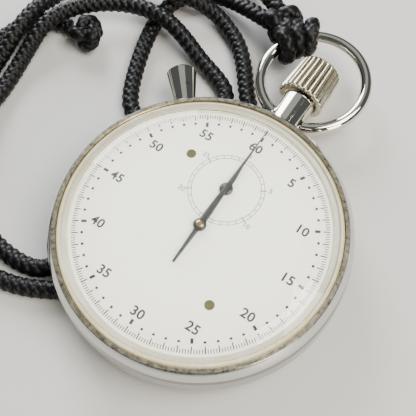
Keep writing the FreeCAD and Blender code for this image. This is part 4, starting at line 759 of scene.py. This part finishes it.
# hands lacquered black-green over steel: satin, catching light along the crown of the blade
lacquer = two_tone("lacquered_steel_hands", ("0b0d0c", "171b16"), (0.4, 0.7), (0.28, 0.42), (0.8, 4.0, 0.6),
                   fixed={"Coat Weight": 0.15, "Coat Roughness": 0.25})
nylon = cord_nylon()
# white lacquered flange: the same eggshell as the dial, a little yellower
flange_white = two_tone("lacquered_flange", ("e7e5da", "dbd7c4"), (0.3, 0.7), (0.3, 0.42), (0.3, 4.0, 0.6))
# aged acrylic tension ring round the crystal: whitish yellow, slightly see-through, soft gloss
tension_ring = two_tone("yellowed_tension_ring", ("e2ddc4", "c9bd92"), (0.3, 0.7), (0.18, 0.34),
                        (0.3, 4.0, 0.6), fixed={"Subsurface Weight": 0.15, "Subsurface Scale": 0.001})
# synthetic ruby bearings: deep clear red with a polished face
ruby = two_tone("ruby_bearing", ("8e0d2a", "b01838"), (0.3, 0.7), 0.05, (1.0, 3.0, 0.55),
                fixed={"IOR": 1.76, "Transmission Weight": 0.3})
# rubber back seal: matt black with a bloom of grey
rubber = two_tone("rubber_seal", ("101011", "232323"), (0.4, 0.7), (0.6, 0.8), (0.8, 4.0, 0.55))
gilt = grained_metal("gilt_brass_plate", "c9b889", "a8935a", 1.2, 0.28)
wheel_brass = grained_metal("cut_brass_wheel", "d0b06a", "a98a45", 1.5, 0.22)
bright_steel = grained_metal("turned_steel", "c2c3c4", "9b9c9d", 2.0, 0.16, (1, 1, 4))
blued_steel = grained_metal("blued_spring_steel", "34405c", "232b40", 2.0, 0.22)
grey_steel = grained_metal("grained_lever_steel", "b4b5b6", "8d8e8f", 1.6, 0.24, (1, 6, 1))
olive_brass = grained_metal("tarnished_brass_rivet", "6f6a44", "4d4a30", 1.3, 0.4)
cap_brass = grained_metal("tarnished_brass_cap", "b5a473", "7d7049", 1.3, 0.26)

FINISHES = {
    "case_band": shaded_chrome_case, "case_back": case_back_metal(), "bezel": bezel_metal(),
    "pendant_neck": chrome_bright, "bow": chrome_bright, "reset_button": chrome_bright,
    "crystal": crystal_glass(), "crystal_gasket": tension_ring, "dial": dial_paint(),
    "dial_flange": flange_white, "dial_studs": olive_brass, "seconds_cap": cap_brass,
    "back_gasket": rubber, "jewels": ruby, "movement_screws": blued_steel,
    "crown_spring": bright_steel, "reset_spring": bright_steel,
}
FAMILIES = {
    gilt: ("main_plate", "barrel_bridge", "train_bridge", "balance_cock", "pallet_bridge", "movement_ring"),
    wheel_brass: ("minute_wheel", "third_wheel", "centre_wheel", "barrel_drum", "barrel_cover",
                  "balance_wheel"),
    bright_steel: ("minute_arbor", "third_arbor", "centre_arbor", "escape_arbor", "escape_wheel",
                   "pallet_fork", "balance_staff", "barrel_arbor", "winding_stem", "stem_sleeve",
                   "reset_stem", "reset_tube",
                   "winding_pinion"),
    blued_steel: ("click_spring", "mainspring", "hairspring"),
    grey_steel: ("reset_hammer", "operating_lever", "brake_lever", "seconds_heart", "minute_heart",
                 "ratchet_wheel", "crown_wheel", "click"),
    lacquer: ("seconds_hand", "minute_hand"),
    nylon: ("lanyard_long", "lanyard_short", "bow_knot", "end_knot"),
    nickel: ("crown",),
}
for finish, names in FAMILIES.items():
    for name in names:
        FINISHES[name] = finish


def finish_piece(thing, finish):
    """Gives a piece its one material."""
    thing.data.materials.clear()
    thing.data.materials.append(finish)


for name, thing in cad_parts.items():
    finish_piece(thing, FINISHES[name])
for thing, finish in ((dial_scale, ink), (minute_scale, fine_ink), (crown, nickel), (seconds_hand, lacquer),
                      (minute_hand, lacquer), (bow_knot, nylon), (end_knot, nylon), (long_strand, nylon),
                      (short_strand, nylon)):
    finish_piece(thing, finish)

# ---------------------------------------------------------------- table and light
TABLE_HALF = 900.0
table = mesh_piece("table", [(-TABLE_HALF, -TABLE_HALF, 0), (TABLE_HALF, -TABLE_HALF, 0),
                             (TABLE_HALF, TABLE_HALF, 0), (-TABLE_HALF, TABLE_HALF, 0)], [[0, 1, 2, 3]],
                   smooth=False)
finish_piece(table, two_tone("pale_table", ("d9d8d5", "dfdedb"), (0.3, 0.7), 0.6, (0.02, 4.0, 0.55)))
WATCH_MIDDLE = (0, 0, 8)


def softbox(name, place, width, height, power, tone):
    """A rectangular light at a place in millimetres, turned to face the watch."""
    data = bpy.data.lights.new(name, "AREA")
    data.shape = "RECTANGLE"
    data.size = width * MM
    data.size_y = height * MM
    data.energy = power
    data.color = hexed(tone)[:3]
    lamp = bpy.data.objects.new(name, data)
    start = Vector(place) * MM
    facing = (Vector(WATCH_MIDDLE) * MM - start).to_track_quat("-Z", "Y").to_matrix().to_4x4()
    lamp.matrix_world = Matrix.Translation(start) @ facing
    bpy.context.collection.objects.link(lamp)


softbox("window", (-420, 330, 250), 260, 420, 5.4, "f7fbff")
softbox("overhead", (230, 60, 470), 300, 300, 3.4, "fffaf0")
softbox("ceiling", (-150, 250, 620), 520, 520, 0.35, "ffffff")
softbox("side_fill", (420, -160, 170), 160, 260, 1.6, "fff3e0")
world = bpy.data.worlds.new("studio")
world.use_nodes = True
world.node_tree.nodes["Background"].inputs["Color"].default_value = hexed("8f959b")
world.node_tree.nodes["Background"].inputs["Strength"].default_value = 0.4
bpy.context.scene.world = world
